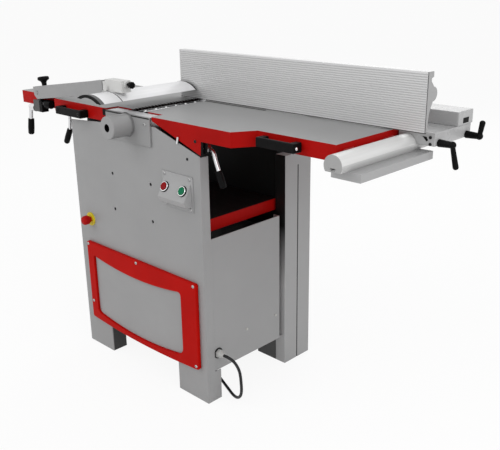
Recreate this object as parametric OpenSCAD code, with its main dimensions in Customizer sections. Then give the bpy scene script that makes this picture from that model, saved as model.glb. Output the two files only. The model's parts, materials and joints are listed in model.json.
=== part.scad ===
// Combination planer thicknesser: a sheet steel cabinet with two hinged planing tables above a
// cutter block, a rising thicknessing bed below it, a sliding and tilting fence, and a bridge guard.
// Millimetres. Origin on the floor under the cutter block, in the middle of the cabinet's footprint.
// X runs to the infeed end, Y to the back, Z up.

/* [Cabinet] */
// Width of the cabinet from end to end
cab_w = 617; // [590:1:660]
// Depth of the cabinet from front to back
cab_d = 459; // [450:1:480]
// Thickness of the sheet steel panels
sheet = 3; // [2:0.5:3]
// Height of the gap between the feet
foot_h = 98; // [70:1:130]
// Width of each front foot
foot_w = 134; // [90:1:150]
// Depth of the return folded along the upright edges
edge_ret = 31; // [25:1:40]
// Depth of the return folded at each foot
foot_ret = 55; // [45:1:70]
// Height of the lower end panels' top edge
end_panel_top = 520; // [480:1:524]
// Width of each rear column, along X
column_w = 40; // [35:1:42]
// Depth of each rear column, along Y
column_d = 121; // [110:1:125]
// Height of the rear columns
column_h = 707; // [660:1:730]

/* [Tables] */
// Working height of the planing tables
table_h = 850; // [830:1:880]
// Length of the infeed table from the cutter axis
infeed_len = 718.5; // [650:0.5:800]
// Length of the outfeed table from the cutter axis
outfeed_len = 647; // [630:0.5:760]
// Depth of the red apron under the tables' edges
apron_h = 42; // [36:1:42]
// Thickness of the table plate
plate_t = 12; // [10:1:12]
// Thickness of the apron walls and ribs
rib_t = 10; // [8:1:11]
// Half of the gap between the two table lips
mouth_half = 28; // [27:0.5:30]
// Setback of the infeed table's narrow part behind the cabinet's front
narrow_setback = 61.5; // [60:0.5:66]
// Setback of the outfeed table's narrow part behind the cabinet's front
outfeed_setback = 23.5; // [20:0.5:26]
// Where the infeed table's wide lip ends
infeed_lip = 428; // [400:1:460]
// Where the outfeed table's wide lip ends
outfeed_lip = 400; // [370:1:410]
// How far the oblique step of each table runs along X
step_run = 38; // [30:1:45]
// Number of noise slots in the outfeed lip
lip_slots = 24; // [16:1:26]
// Height of the hinge axis below the tables' top
hinge_drop = 4; // [2:0.5:8]
// Radius of the hinge pins
hinge_pin_r = 8; // [6:0.5:9]

/* [Cutter and feed] */
// Planing width
planing_w = 307; // [300:1:312]
// Radius of the cutting circle
cutter_r = 35; // [33:0.5:35.5]
// Number of knives
knife_count = 3; // [2:1:4]
// Radius of the cutter's journals
journal_r = 15; // [12:0.5:16]
// Outer radius of the cutter's ball bearings
bearing_r = 28; // [24:0.5:29]
// Width of the cutter's ball bearings
bearing_w = 18; // [12:1:20]
// Depth of the bearing blocks along the cutter
block_d = 38; // [34:1:40]
// Radius of the feed rollers
roller_r = 20; // [16:0.5:20]
// Distance of the feed rollers from the cutter axis
roller_x = 70; // [66:1:76]
// Height of the bed's top at rest
bed_top = 564; // [556:1:575]
// Length of the thicknessing bed
bed_len = 536; // [480:1:540]
// Depth of the bed's edge
bed_edge = 38; // [30:1:38]
// Radius of the bed's column
bed_column_r = 42; // [36:1:44]
// Radius of the lead screw
screw_r = 12; // [10:0.5:13]

/* [Drive] */
// Radius of the motor's casing
motor_r = 92; // [80:1:98]
// Radius of the motor pulley
motor_pulley_r = 46; // [40:1:52]
// Radius of the cutter pulley
cutter_pulley_r = 33; // [28:1:36]
// Radius of the handwheel
wheel_r = 80; // [60:1:95]

/* [Fence and guard] */
// Length of the fence
fence_len = 910; // [860:1:940]
// Height of the fence
fence_h = 150; // [140:1:165]
// Where the fence's face stands, from the axis of the cabinet
fence_y = 57; // [54:0.5:62]
// How far the fence reaches past the infeed table
fence_over = 97.5; // [90:0.5:105]
// Number of grooves along the fence's face
fence_grooves = 24; // [16:1:26]
// Width of the fence's rail
rail_w = 53; // [46:1:54]
// Height of the fence's rail
rail_h = 42; // [38:1:44]
// Length of the fence's rail
rail_len = 512; // [490:1:540]
// Span of the guard's arched profile
guard_w = 112; // [100:1:116]
// Rise of the guard's arched profile
guard_rise = 17; // [14:0.5:19]
// Height of the guard's crest above the tables
guard_lift = 53.5; // [51:0.5:57]
// Rise of the guard's arm to the right, in degrees
arm_angle = 8; // [7.5:0.25:8.5]
// Lean of the guard's arch to the right, in degrees
guard_lean = 4.2; // [0:0.1:6]

/* [Front panel] */
// Distance between the accessory holes, along X
acc_dx = 189; // [150:1:210]
// Distance between the accessory holes, along Z
acc_dz = 115.5; // [90:0.5:130]
// Radius of the accessory holes
acc_r = 5; // [4:0.5:8]
// Radius of the round guard over the front end of the cutter shaft
chuck_r = 33.5; // [28:0.5:36]
// Length of the round guard over the front end of the cutter shaft
chuck_len = 71; // [50:1:90]
// Width of the red frame round the motor door
frame_w = 546; // [520:1:560]
// Height of the red frame round the motor door
frame_h = 278; // [250:1:290]

/* [Hidden] */
$fn = 64;

sheet_grey = "#9c9c9c";
table_red = "#a81512";
light_metal = "#d8d8da";
steel = "#b8b8ba";
plastic_black = "#181818";

// Clearances: between pieces that only pass each other, and between a shaft and its bore
pass_gap = 0.3;
run_gap = 0.06;
eps = 0.01;

// Cabinet planes
end_x = cab_w / 2;
front_y = -cab_d / 2;
bearing_setback = 43.5;
drive_depth = 100;
back_y = max(cab_d / 2, front_y + bearing_setback + planing_w + drive_depth);
front_in = front_y + sheet;
back_in = back_y - sheet;
column_x = end_x + 6 - column_w;
column_y = back_y - column_d;

// Cutter and mouth
cutter_z = table_h - cutter_r;
mouth_y0 = front_y + bearing_setback;
mouth_y1 = mouth_y0 + planing_w;
mid_y = (mouth_y0 + mouth_y1) / 2;
end_play = 2;
block_gap = 1.5;
block_half = 104;
block_z0 = table_h - 74;
block_z1 = table_h - 4;
front_block_y1 = mouth_y0 - block_gap - 1;
rear_block_y0 = mouth_y1 + end_play + block_gap;
rear_block_y1 = rear_block_y0 + block_d;
roller_z = cutter_z - cutter_r + roller_r;
roller_pin_r = 10;
roller_pin_len = 22;

// Tables
table_back = mouth_y1 + end_play;
narrow_y = front_y + narrow_setback;
outfeed_y = front_y + outfeed_setback;
outfeed_run = step_run * outfeed_setback / narrow_setback;
apron_z = table_h - apron_h;
plate_z = table_h - plate_t;
notch_x = 108;
lip_x = 110;
shallow_z = table_h - 18;
hinge_y = table_back + 49;
hinge_z = table_h - hinge_drop;
lug_r = hinge_pin_r + 8;
lug_w = 16;
ear_w = 10;
ear_gap = 1;
lug_span = 82;
lug_x2 = column_x - 31.5;
lug_x1 = lug_x2 - lug_span;
gusset_x = column_x + 37.5;
gusset_z = table_h - 81;

// Bed
bed_gap = 2;
bed_half = min(bed_len / 2, column_x - 2 * bed_gap);
bed_w = planing_w - 7;
cheek_t = 8;
cheek_half = column_x - 2;
cheek_z0 = end_panel_top - 60;
cheek_y0 = mid_y - bed_w / 2 - bed_gap;
cheek_y1 = mid_y + bed_w / 2 + bed_gap;
bed_column_len = 320;
guide_r = bed_column_r + 12;
guide_top = bed_top - bed_edge - 36;
base_t = 4;
base_z = foot_h + base_t;
mitre_z = base_z + 50;
mitre_r0 = screw_r + 1.5;
mitre_r1 = mitre_r0 + 10;
wheel_shaft_r = 9;

// Drive
motor_side_gap = 8;
motor_lift = 92;
motor_x = -(end_x - 2 * sheet - motor_r - motor_side_gap);
motor_z = foot_h + motor_r + motor_lift;
pulley_y0 = rear_block_y1 + 6;
pulley_w = 24;
belt_t = 6;

// Fence
fence_x1 = infeed_len + fence_over;
fence_x0 = fence_x1 - fence_len;
fence_gap = 2;
fence_z = table_h + fence_gap;
fence_pivot_y = fence_y + 22;
fence_pivot_z = fence_z + 20;
fence_pin_r = 4;
fence_arms = [infeed_len - 300, infeed_len - 40];
tab_t = 4;
rail_x = infeed_len + tab_t + 0.5 + rail_w / 2;
rail_top = table_h - 9;
rail_z0 = rail_top - rail_h;
rail_y0 = front_y + 9.5;
tray_x1 = infeed_len + 90;
carriage_x1 = tray_x1 + 20;
carriage_y0 = fence_y + 28;
carriage_y1 = carriage_y0 + 177;
carriage_z0 = table_h - 33;
tube_d = 76;
tube_over = 6;
tube_y0 = carriage_y1 + tube_over - tube_d;
tube_h = 37;
tube_x0 = infeed_len - 388;
tray_z0 = rail_z0 - 21;
tray_y0 = rail_y0 + 27.5;
tray_len = 308;
clamp_stud_r = 5;
clamp_stud_len = 20;
inner_stud_y = carriage_y0 + 19;
outer_stud_y = carriage_y1 - 22;
clamp_stud_z = table_h - 26;

// Guard, its arm and its mount
guard_x = -71.5;
guard_y0 = front_y - 88.5;
guard_y1 = fence_y - 7;
guard_seam = front_y - 10.5;
guard_t = 3;
cap_t = 4;
crest_z = table_h + guard_lift;
arm_y0 = front_y - 3.5;
arm_table_gap = 1;
arm_d = outfeed_y - arm_table_gap - arm_y0;
arm_wall = 2.5;
arm_h = 42;
arm_pivot_x = -500;
arm_pivot_z = table_h + 8;
arm_tail = 20;
arm_len = 389;
arm_pin_r = 6;
knob_u = 35;
knob_stem_r = 5;
mount_d = 25;
clamp_axis_y = outfeed_y - 14;
clamp_axis_z = apron_z - 6;

// Lock levers
lever_y = front_y + 40;
lever_shaft_r = 6;
lever_hub_r = 11;
lever_rod_r = 5;
lever_grip_r = 9;
right_lever_x = column_x + 20.5;
right_lever = [[right_lever_x, table_h - 70], [right_lever_x + 23, table_h - 87], [right_lever_x + 46,
    table_h - 125],
    [right_lever_x + 64, table_h - 168]];
left_lever_x = 22 - outfeed_lip;
left_lever = [[left_lever_x, table_h - 28], [left_lever_x - 3, table_h - 79], [left_lever_x - 8,
    table_h - 109],
    [left_lever_x - 38, table_h - 158]];

// Front controls
frame_x0 = 44.5 - end_x;
frame_z0 = foot_h + 12;
frame_t = 12;
estop_rise = 79;
acc_rise = 201.75;
box_x0 = end_x - 163;
box_w = 132;
box_z0 = table_h - 250;
box_h = 103;
box_flange_t = 2;
box_out = 30;
box_top = box_z0 + 89;
box_lip = box_z0 + 33;
slope_angle = atan2(box_out, box_top - box_lip);
button_r = 11;
button_bore_r = 11.5;
button_xs = [box_x0 + 27, box_x0 + box_w - 29];
estop_x = 65.5 - end_x;
estop_z = frame_z0 + frame_h + estop_rise;
estop_plate_r = 22.5;
estop_stem_r = 8;
acc_x = -7.5;
acc_z = frame_z0 + frame_h + acc_rise;
gland_y = front_y + 47.5;
gland_z = 154;
gland_r = 13.5;

// Cord: route chosen by hand, from the gland to the floor and under the cabinet
cord_r = 4.5;
cord_sides = 8;
cord_route = [[330.5, -182, 154], [350, -182, 154], [368, -182, 151], [383, -182, 142], [393, -181, 127],
    [397, -180, 108], [397, -178, 86], [395, -175, 64], [389, -171, 44], [378, -166, 27], [362, -160, 14],
    [343, -153, 7], [322, -145, 4.5], [300, -136, 4.5], [278, -127, 4.5], [256, -118, 4.5], [234, -109, 4.5],
    [212, -100, 4.5], [191, -89, 4.5], [171, -76, 4.5], [152, -61, 4.5], [135, -43, 4.5], [121, -23, 4.5],
    [110, 0, 4.5], [103, 24, 5], [100, 42, 6], [100, 51, 6]];
cord_tail = [[-18, 51, 15.8], [-18, 42, 15.8], [-19, 22, 16.2], [-21, 2, 18], [-22, -18, 19.4], [-22, -30,
    19.5]];
coil_c = [41, 60, 6];
coil_r = 59;
coil_pitch = 9.8;
coil_turns = 2;
coil_rings = 24;
coil_sides = 6;
coil_end = 2 * coil_turns + 0.5;
plug_r = 19;
plug_len = 62;
plug_tip = cord_tail[len(cord_tail) - 1];

// Shapes that repeat

// Prism on an outline in X and Z, from y0 to y1
module along_y(outline, y0, y1) {
    translate([0, y1, 0]) rotate([90, 0, 0]) linear_extrude(y1 - y0) polygon(outline);
}

// Prism on an outline in Y and Z, from x0 to x1
module along_x(outline, x0, x1) {
    translate([x0, 0, 0]) rotate([90, 0, 90]) linear_extrude(x1 - x0) polygon(outline);
}

// Prism on an outline in X and Y, from z0 to z1
module along_z(outline, z0, z1) {
    translate([0, 0, z0]) linear_extrude(z1 - z0) polygon(outline);
}

module box(low, high) {
    translate(low) cube(high - low);
}

module rod_y(x, z, r, y0, y1) {
    translate([x, y0, z]) rotate([-90, 0, 0]) cylinder(r = r, h = y1 - y0);
}

module rod_x(y, z, r, x0, x1) {
    translate([x0, y, z]) rotate([0, 90, 0]) cylinder(r = r, h = x1 - x0);
}

module rod_z(x, y, r, z0, z1) {
    translate([x, y, z0]) cylinder(r = r, h = z1 - z0);
}

// Round rod between two points
module rod(p, q, r) {
    d = q - p;
    translate(p) rotate([0, acos(d[2] / norm(d)), atan2(d[1], d[0])]) cylinder(r = r, h = norm(d));
}

// Points on an arc that bows out from the chord p to q by rise, to the left of the way from p to q
function bow(p, q, rise, n = 12) =
    let (d = q - p, c = norm(d), r = (c * c / 4 + rise * rise) / (2 * abs(rise)),
        s = sign(rise), left = [-d[1], d[0]] / c, m = (p + q) / 2 + left * (rise - s * r),
        half = asin(c / 2 / r))
    [for (i = [0 : n]) let (a = -half + 2 * half * i / n)
        m + r * (s * left * cos(a) + d / c * sin(a))];

// Points round a corner, counter-clockwise from angle a0 to a1
function corner(c, r, a0, a1, n = 6) = [for (i = [0 : n]) let (a = a0 + (a1 - a0) * i / n) c + r * [cos(a),
    sin(a)]];

// Tube swept along a list of points, one ring at each, its rings turned as little as possible
function unit(v) = v / norm(v);
module cord_tube(path, r, sides) {
    n = len(path);
    t = [for (i = [0 : n - 1]) unit(path[min(i + 1, n - 1)] - path[max(i - 1, 0)])];
    u = [for (i = 0, v = unit(cross(t[0], [0.1, 0.2, 1])); i < n;
        i = i + 1, v = i < n ? unit(v - (v * t[i]) * t[i]) : v) v];
    points = [for (i = [0 : n - 1]) let (w = cross(t[i], u[i]))
        for (k = [0 : sides - 1]) path[i] + r * (cos(360 * k / sides) * u[i] + sin(360 * k / sides) * w)];
    walls = [for (i = [0 : n - 2]) for (k = [0 : sides - 1])
        let (a = i * sides + k, b = i * sides + (k + 1) % sides)
        for (f = [[a, a + sides, b], [b, a + sides, b + sides]]) f];
    last = (n - 1) * sides;
    ends = [for (k = [1 : sides - 2]) for (f = [[0, k, k + 1], [last, last + k + 1, last + k]]) f];
    polyhedron(points, concat(walls, ends));
}

// Cabinet

panel_left_z = table_h - 58;
panel_step_z = apron_z - 3;
panel_mid_z = table_h - 29;
panel_right_z = table_h - 85;
shaft_hole_r = 20;

// Front panel folded back at both ends and at the feet
module front_panel() {
    outline = [[-end_x, 0], [-end_x + foot_w, 0], [-end_x + foot_w, foot_h], [end_x - foot_w, foot_h],
        [end_x - foot_w, 0], [end_x, 0], [end_x, panel_right_z], [124, panel_mid_z],
        [-block_half - 2, panel_mid_z], [-lip_x - 2, panel_step_z], [-end_x, panel_left_z]];
    color(sheet_grey) difference() {
        union() {
            along_y(outline, front_y, front_in);
            for (s = [0, 1]) mirror([s, 0, 0]) {
                box([end_x - sheet, front_y, 0], [end_x, front_y + edge_ret, panel_right_z - 2]);
                box([end_x - sheet, front_y, 0], [end_x, front_y + foot_ret, foot_h]);
                box([end_x - foot_w, front_y, 0], [end_x - foot_w + sheet, front_y + foot_ret, foot_h]);
            }
        }
        for (x = [-acc_dx / 2, acc_dx / 2], z = [-acc_dz / 2, acc_dz / 2])
            rod_y(acc_x + x, acc_z + z, acc_r, front_y - 1, front_in + 1);
        rod_y(0, cutter_z, shaft_hole_r, front_y - 1, front_in + 1);
        rod_y(estop_x, estop_z, estop_stem_r + 1, front_y - 1, front_in + 1);
    }
}

rear_top = table_h - 70;

// Rear panel, raised in the middle to cover the drive
module rear_panel() {
    outline = [[-column_x, foot_h], [column_x, foot_h], [column_x, rear_top], [block_half + 16, rear_top],
        [block_half, block_z1], [-block_half, block_z1], [-block_half - 16, rear_top], [-column_x, rear_top]];
    color(sheet_grey) along_y(outline, back_in, back_y);
}

panel_gap = 16;
end_fold = 20;

// Lower panel under the throat, folded inwards at its back
module end_panel(hole_y, hole_z, hole_r) {
    x0 = end_x - 2 * sheet;
    y1 = column_y - panel_gap;
    difference() {
        union() {
            box([x0, front_in, foot_h], [x0 + sheet, y1, end_panel_top]);
            box([x0 - end_fold, y1 - sheet, foot_h + base_t], [x0 + eps, y1, end_panel_top]);
        }
        rod_x(hole_y, hole_z, hole_r, x0 - 1, x0 + sheet + 1);
    }
}

gland_thread_r = 10;

module right_end_panel() {
    color(sheet_grey) end_panel(gland_y, gland_z, gland_thread_r + run_gap);
}

module left_end_panel() {
    color(sheet_grey) mirror([1, 0, 0]) end_panel(mid_y, mitre_z, wheel_shaft_r + run_gap);
}

slit_w = 4;
slit_d = 1.5;
slit_top = column_h - 37;

// Folded posts at the two rear corners, each with a joint line down its outer face
module rear_columns() {
    color(sheet_grey) for (s = [0, 1]) mirror([s, 0, 0]) difference() {
        box([column_x, column_y, 0], [column_x + column_w, back_y, column_h]);
        box([column_x + sheet, column_y + sheet, -1],
            [column_x + column_w - sheet, back_y - sheet, column_h - sheet]);
        box([column_x + column_w - slit_d, column_y + (column_d - slit_w) / 2, -1],
            [column_x + column_w + 1, column_y + (column_d + slit_w) / 2, slit_top]);
    }
}

screw_foot_r = 8;

module base_plate() {
    x1 = end_x - 2 * sheet;
    color(sheet_grey) difference() {
        box([-x1, front_in, foot_h], [x1, back_in, base_z]);
        for (s = [0, 1]) mirror([s, 0, 0])
            box([column_x - pass_gap, column_y - pass_gap, foot_h - 1], [x1 + 1, back_in + 1, base_z + 1]);
        rod_z(0, mid_y, screw_foot_r + run_gap, foot_h - 1, base_z + 1);
    }
}

cheek_flange_x = cheek_half - cheek_t;
cheek_rise = 8;

// Side walls of the throat, black, with flanges to the front and rear panels
module throat_cheeks() {
    color(plastic_black) {
        box([-cheek_half, cheek_y0 - cheek_t, cheek_z0], [cheek_half, cheek_y0, block_z0]);
        box([-block_half, front_in, block_z0 - cheek_t], [block_half, cheek_y0 - cheek_t + eps, block_z0]);
        box([-cheek_half, cheek_y1, cheek_z0], [cheek_half, cheek_y1 + cheek_t, block_z0]);
        box([-block_half, cheek_y1 + cheek_t - eps, block_z0 - cheek_t], [block_half, rear_block_y1,
            block_z0]);
        for (s = [0, 1]) mirror([s, 0, 0]) {
            box([block_half + block_gap, cheek_y0 - cheek_t, block_z0 - eps],
                [cheek_half, cheek_y0, apron_z + cheek_rise]);
            box([cheek_flange_x, front_in, cheek_z0], [cheek_half, cheek_y0 - cheek_t + eps, block_z0]);
            box([cheek_flange_x, cheek_y1 + cheek_t - eps, cheek_z0], [cheek_half, back_in, block_z0]);
        }
    }
}

// One bearing block between y0 and y1, its pockets opening on the side of the throat at y_in
module bearing_block(y0, y1, y_in) {
    s = sign(y_in - (y0 + y1) / 2);
    difference() {
        box([-block_half, y0, block_z0], [block_half, y1, block_z1]);
        rod_y(0, cutter_z, journal_r + 1, y0 - 1, y1 + 1);
        rod_y(0, cutter_z, bearing_r, min(y_in + s, y_in - s * bearing_w), max(y_in + s,
            y_in - s * bearing_w));
        for (x = [-roller_x, roller_x])
            rod_y(x, roller_z, roller_pin_r + run_gap, min(y_in + s, y_in - s * (roller_pin_len + 2)),
                max(y_in + s, y_in - s * (roller_pin_len + 2)));
    }
}

module bearing_blocks() {
    color(light_metal) {
        bearing_block(front_in, front_block_y1, front_block_y1);
        bearing_block(rear_block_y0, rear_block_y1, rear_block_y0);
    }
}

module cutter_bearings() {
    color(steel) for (y0 = [front_block_y1 - bearing_w, rear_block_y0]) difference() {
        rod_y(0, cutter_z, bearing_r - 0.01, y0, y0 + bearing_w);
        rod_y(0, cutter_z, journal_r, y0 - 1, y0 + bearing_w + 1);
    }
}

cover_t = 6;
cover_half = block_half + 1;
cover_z0 = table_h - 88;
cover_z1 = table_h - 4;

// Plate over the front bearing
module bearing_cover() {
    color(sheet_grey) box([-cover_half, front_y - cover_t, cover_z0], [cover_half, front_y, cover_z1]);
}

chuck_fillet = 3;
chuck_bore_r = 12;
chuck_bore_len = 40;

// Turned sleeve over the front end of the cutter shaft, flared where it meets the cover
module chuck_guard() {
    flare = corner([chuck_r + chuck_fillet, chuck_fillet], chuck_fillet, 270, 180, 8);
    color(sheet_grey) translate([0, front_y - cover_t, cutter_z]) rotate([90, 0, 0]) difference() {
        rotate_extrude() polygon(concat([[0, 0]], flare, [[chuck_r, chuck_len - 2], [chuck_r - 2, chuck_len],
            [0, chuck_len]]));
        translate([0, 0, chuck_len - chuck_bore_len]) cylinder(r = chuck_bore_r, h = chuck_bore_len + 1);
    }
}

frame_x1 = frame_x0 + frame_w;
frame_z1 = frame_z0 + frame_h;
frame_corner = 14;
window_r = 26;
band_left = 14;
band_right = 32;
band_top = 26;
band_bottom = 18;
band_bow = 16;
bottom_bow = 10;

// Outline of the door frame: square at the top, with a bowed lower edge and one corner cut off
function frame_outline() = concat(
    bow([frame_x0 + frame_corner * 2, frame_z0 + frame_corner], [frame_x1 - frame_corner, frame_z0],
        -bottom_bow),
    corner([frame_x1 - frame_corner, frame_z0 + frame_corner], frame_corner, 290, 360),
    corner([frame_x1 - frame_corner, frame_z1 - frame_corner], frame_corner, 0, 90),
    corner([frame_x0 + frame_corner, frame_z1 - frame_corner], frame_corner, 90, 180),
    [[frame_x0, frame_z0 + frame_corner * 3]]);

// Outline of the window in the frame, drawn in by gap: its top edge sags and its right corners are round
function window_outline(gap) =
    let (x0 = frame_x0 + band_left + gap, x1 = frame_x1 - band_right - gap,
        z0 = frame_z0 + band_bottom + gap, z1 = frame_z1 - band_top - gap, r = window_r - gap)
    concat(bow([x0 + r, z0 + frame_corner], [x1 - r, z0], -bottom_bow),
        corner([x1 - r, z0 + r], r, 280, 360), corner([x1 - r, z1 - r], r, 0, 80),
        bow([x1 - r, z1], [x0 + r / 2, z1], -band_bow), [[x0, z1 - r / 2], [x0, z0 + frame_corner + r]]);

door_t = 4;

module motor_door() {
    color(sheet_grey) along_y(window_outline(pass_gap), front_y - door_t, front_y);
}

module door_frame() {
    color(table_red) difference() {
        along_y(frame_outline(), front_y - frame_t, front_y);
        along_y(window_outline(0), front_y - frame_t - 1, front_y + 1);
    }
}

// Places the children on the switch box's sloping face at x, with their own Z axis standing out of it
module on_slope(x) {
    translate([x, front_y - box_out / 2, (box_top + box_lip) / 2]) rotate([90 - slope_angle, 0,
        0]) children();
}

box_side = 9;
box_base = 13;
button_pocket = 16;

module switch_box() {
    color(sheet_grey) difference() {
        union() {
            box([box_x0, front_y - box_flange_t, box_z0], [box_x0 + box_w, front_y, box_z0 + box_h]);
            along_x([[front_y, box_z0 + box_base], [front_y, box_top], [front_y - box_out, box_lip],
                [front_y - box_out + box_side, box_z0 + box_base + 4]], box_x0 + box_side,
                box_x0 + box_w - box_side);
        }
        for (x = button_xs) on_slope(x) translate([0, 0, -button_pocket])
            cylinder(r = button_bore_r, h = button_pocket + 9);
    }
}

button_out = 7;
button_in = 7.5;

// Round push button with a slightly hollowed cap
module push_button(x) {
    on_slope(x) difference() {
        translate([0, 0, -button_in]) cylinder(r = button_r, h = button_in + button_out);
        translate([0, 0, button_out + 28.8]) sphere(r = 30);
    }
}

module start_button() {
    color("#0e7a4e") push_button(button_xs[1]);
}

module stop_button() {
    color("#b01c1c") push_button(button_xs[0]);
}

estop_plate_t = 3;

module estop_plate() {
    color("#d2c326") difference() {
        rod_y(estop_x, estop_z, estop_plate_r, front_y - estop_plate_t, front_y);
        rod_y(estop_x, estop_z, estop_stem_r + run_gap, front_y - estop_plate_t - 1, front_y + 1);
    }
}

estop_r = 15;
estop_out = 35;
estop_gap = 6;

// Mushroom head on its stem
module estop_button() {
    h0 = estop_plate_t + estop_gap;
    color("#b01c1c") translate([estop_x, front_y, estop_z]) rotate([90, 0, 0]) rotate_extrude()
        polygon(concat([[0, -sheet - 4], [estop_stem_r, -sheet - 4], [estop_stem_r, h0], [estop_r - 3, h0]],
            [[estop_r, h0 + 6], [estop_r, estop_out - 10]], corner([estop_r - 10, estop_out - 10], 10, 0, 90),
            [[0, estop_out]]));
}

gland_x = end_x - sheet;
gland_end_x = cord_route[0][0];

// Cable gland: thread, hexagon and tapered nose that the lead comes out of
module cable_gland() {
    color(light_metal) translate([gland_x, gland_y, gland_z]) rotate([0, 90, 0]) {
        translate([0, 0, -sheet - 8]) cylinder(r = gland_thread_r, h = sheet + 8 + eps);
        cylinder(r = gland_r, h = 9, $fn = 6);
        translate([0, 0, 9 - eps])
            cylinder(r1 = gland_r - 2, r2 = cord_r + 2.5, h = gland_end_x - gland_x - 9 + eps);
    }
}

screw_head_r = 5;
screw_head_h = 3;

// Button head with a hexagon socket, standing on the face at the origin
module screw_head() {
    difference() {
        rotate_extrude() polygon([[0, 0], [screw_head_r, 0], [screw_head_r, 1], [screw_head_r - 1.5,
            screw_head_h],
            [0, screw_head_h]]);
        translate([0, 0, screw_head_h - 1.5]) cylinder(r = 2, h = 2, $fn = 6);
    }
}

// Screws that hold the panels, the door frame, the cover and the switch box
module panel_screws() {
    inset = 9;
    box_inset = 7;
    cover_inset = 21;
    box_face = front_y - box_flange_t;
    frame_face = front_y - frame_t;
    cover_face = front_y - cover_t;
    places = concat(
        [for (x = [box_x0 + 12, box_x0 + box_w - 12], z = [box_z0 + box_inset, box_z0 + box_h - box_inset])
            [x, box_face, z]],
        [for (x = [frame_x0 + inset, frame_x1 - inset - 4, (frame_x0 + frame_x1) / 2])
            [x, frame_face, frame_z1 - inset - 2]],
        [[frame_x0 + inset, frame_face, frame_z0 + 62], [frame_x1 - inset - 4, frame_face,
        frame_z0 + inset + 3]],
        [for (x = [-cover_half + cover_inset, cover_half - cover_inset]) [x, cover_face,
        cover_z1 - cover_inset]]);
    color(steel) for (p = places) translate(p) rotate([90, 0, 0]) screw_head();
}

// Drive

motor_y0 = front_in + 96;
motor_y1 = column_y - panel_gap - sheet - 4;
motor_shaft_r = 12;
motor_shaft_in = 40;
motor_fins = 16;
motor_end = 30;
motor_foot_half = 72;
motor_foot_w = 40;
motor_foot_ys = [mid_y - 88, mid_y + 48];
motor_foot_rise = 26;

// Finned motor on two cross feet
module motor() {
    fin = (motor_y1 - motor_y0 - 2 * motor_end) / motor_fins;
    body = [for (i = [0 : motor_fins - 1]) for (p = [[motor_r - 6, i * fin], [motor_r, (i + 0.2) * fin],
        [motor_r, (i + 0.5) * fin], [motor_r - 6, (i + 0.7) * fin]]) p + [0, motor_end]];
    color("#30363c") difference() {
        union() {
            translate([motor_x, motor_y0, motor_z]) rotate([-90, 0, 0]) rotate_extrude()
                polygon(concat([[0, 0], [motor_r - 14, 0], [motor_r - 4, 12], [motor_r - 4, motor_end]], body,
                    [[motor_r - 4, motor_y1 - motor_y0 - motor_end + 2], [motor_r - 10, motor_y1 - motor_y0],
                    [0, motor_y1 - motor_y0]]));
            for (y = motor_foot_ys)
                box([motor_x - motor_foot_half, y, base_z],
                    [motor_x + motor_foot_half, y + motor_foot_w, motor_z - motor_r + motor_foot_rise]);
        }
        rod_y(motor_x, motor_z, motor_shaft_r + run_gap, motor_y1 - motor_shaft_in - 1, motor_y1 + 1);
    }
}

// Ribbed flat pulley with its bore
module ribbed_pulley(r, bore) {
    ribs = 5;
    w = pulley_w / ribs;
    rim = [for (i = [0 : ribs - 1]) for (p = [[r, i * w], [r, (i + 0.4) * w], [r - 2, (i + 0.7) * w]]) p];
    rotate_extrude() polygon(concat([[bore, 0]], rim, [[r, pulley_w], [bore, pulley_w]]));
}

module motor_pulley() {
    color(steel) translate([motor_x, 0, motor_z]) {
        translate([0, pulley_y0, 0]) rotate([-90, 0, 0]) ribbed_pulley(motor_pulley_r, motor_shaft_r - 1);
        rod_y(0, 0, motor_shaft_r, motor_y1 - motor_shaft_in, pulley_y0 + pulley_w + 4);
    }
}

module cutter_pulley() {
    color(steel) translate([0, pulley_y0, cutter_z]) rotate([-90, 0, 0]) ribbed_pulley(cutter_pulley_r,
        journal_r);
}

// Outline of a belt that wraps two pulleys, grown by grow over their rims
function belt_outline(grow) =
    let (m = [motor_x, motor_z], c = [0, cutter_z], d = c - m, r0 = motor_pulley_r + grow,
        r1 = cutter_pulley_r + grow, lean = acos((r0 - r1) / norm(d)), a = atan2(d[1], d[0]))
    concat(corner(m, r0, a + lean, a + 360 - lean, 32), corner(c, r1, a - lean, a + lean, 32));

module drive_belt() {
    inset = 2;
    color(plastic_black) translate([0, pulley_y0 + pulley_w - inset, 0]) rotate([90, 0, 0])
        linear_extrude(pulley_w - 2 * inset) difference() {
            polygon(belt_outline(pass_gap + belt_t));
            polygon(belt_outline(pass_gap));
        }
}

// Cutter and feed

// Places the children on the cutter axis, with their own Z axis along Y
module on_cutter() {
    translate([0, 0, cutter_z]) rotate([-90, 0, 0]) children();
}

knife_t = 3;
knife_d = 20;
knife_slack = 0.2;
knife_lean = 25;
body_r = cutter_r - 1.5;
gullet_r = 7;

module cutter_block() {
    y0 = mouth_y0 + end_play;
    y1 = mouth_y1 - end_play;
    front_end = front_block_y1 - bearing_w - 3;
    color(steel) on_cutter() {
        difference() {
            translate([0, 0, y0]) cylinder(r = body_r, h = y1 - y0);
            for (i = [0 : knife_count - 1]) rotate([0, 0, knife_lean + 360 * i / knife_count]) {
                translate([-knife_t / 2 - knife_slack, -cutter_r - 1, y0 - 1])
                    cube([knife_t + 2 * knife_slack, knife_d + 1 + knife_slack, y1 - y0 + 2]);
                translate([gullet_r + 1, -cutter_r, y0 - 1]) cylinder(r = gullet_r, h = y1 - y0 + 2);
            }
        }
        translate([0, 0, front_end]) cylinder(r = journal_r - run_gap, h = y0 - front_end + eps);
        translate([0, 0, y1 - eps]) cylinder(r = journal_r - run_gap, h = pulley_y0 + pulley_w + 4 - y1);
    }
}

module cutter_knives() {
    y0 = mouth_y0 + end_play + 1;
    color("#d5d6d8") on_cutter() for (i = [0 : knife_count - 1]) rotate([0, 0,
        knife_lean + 360 * i / knife_count])
        translate([-knife_t / 2, -cutter_r, y0]) cube([knife_t, knife_d, planing_w - 2 * end_play - 2]);
}

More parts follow.
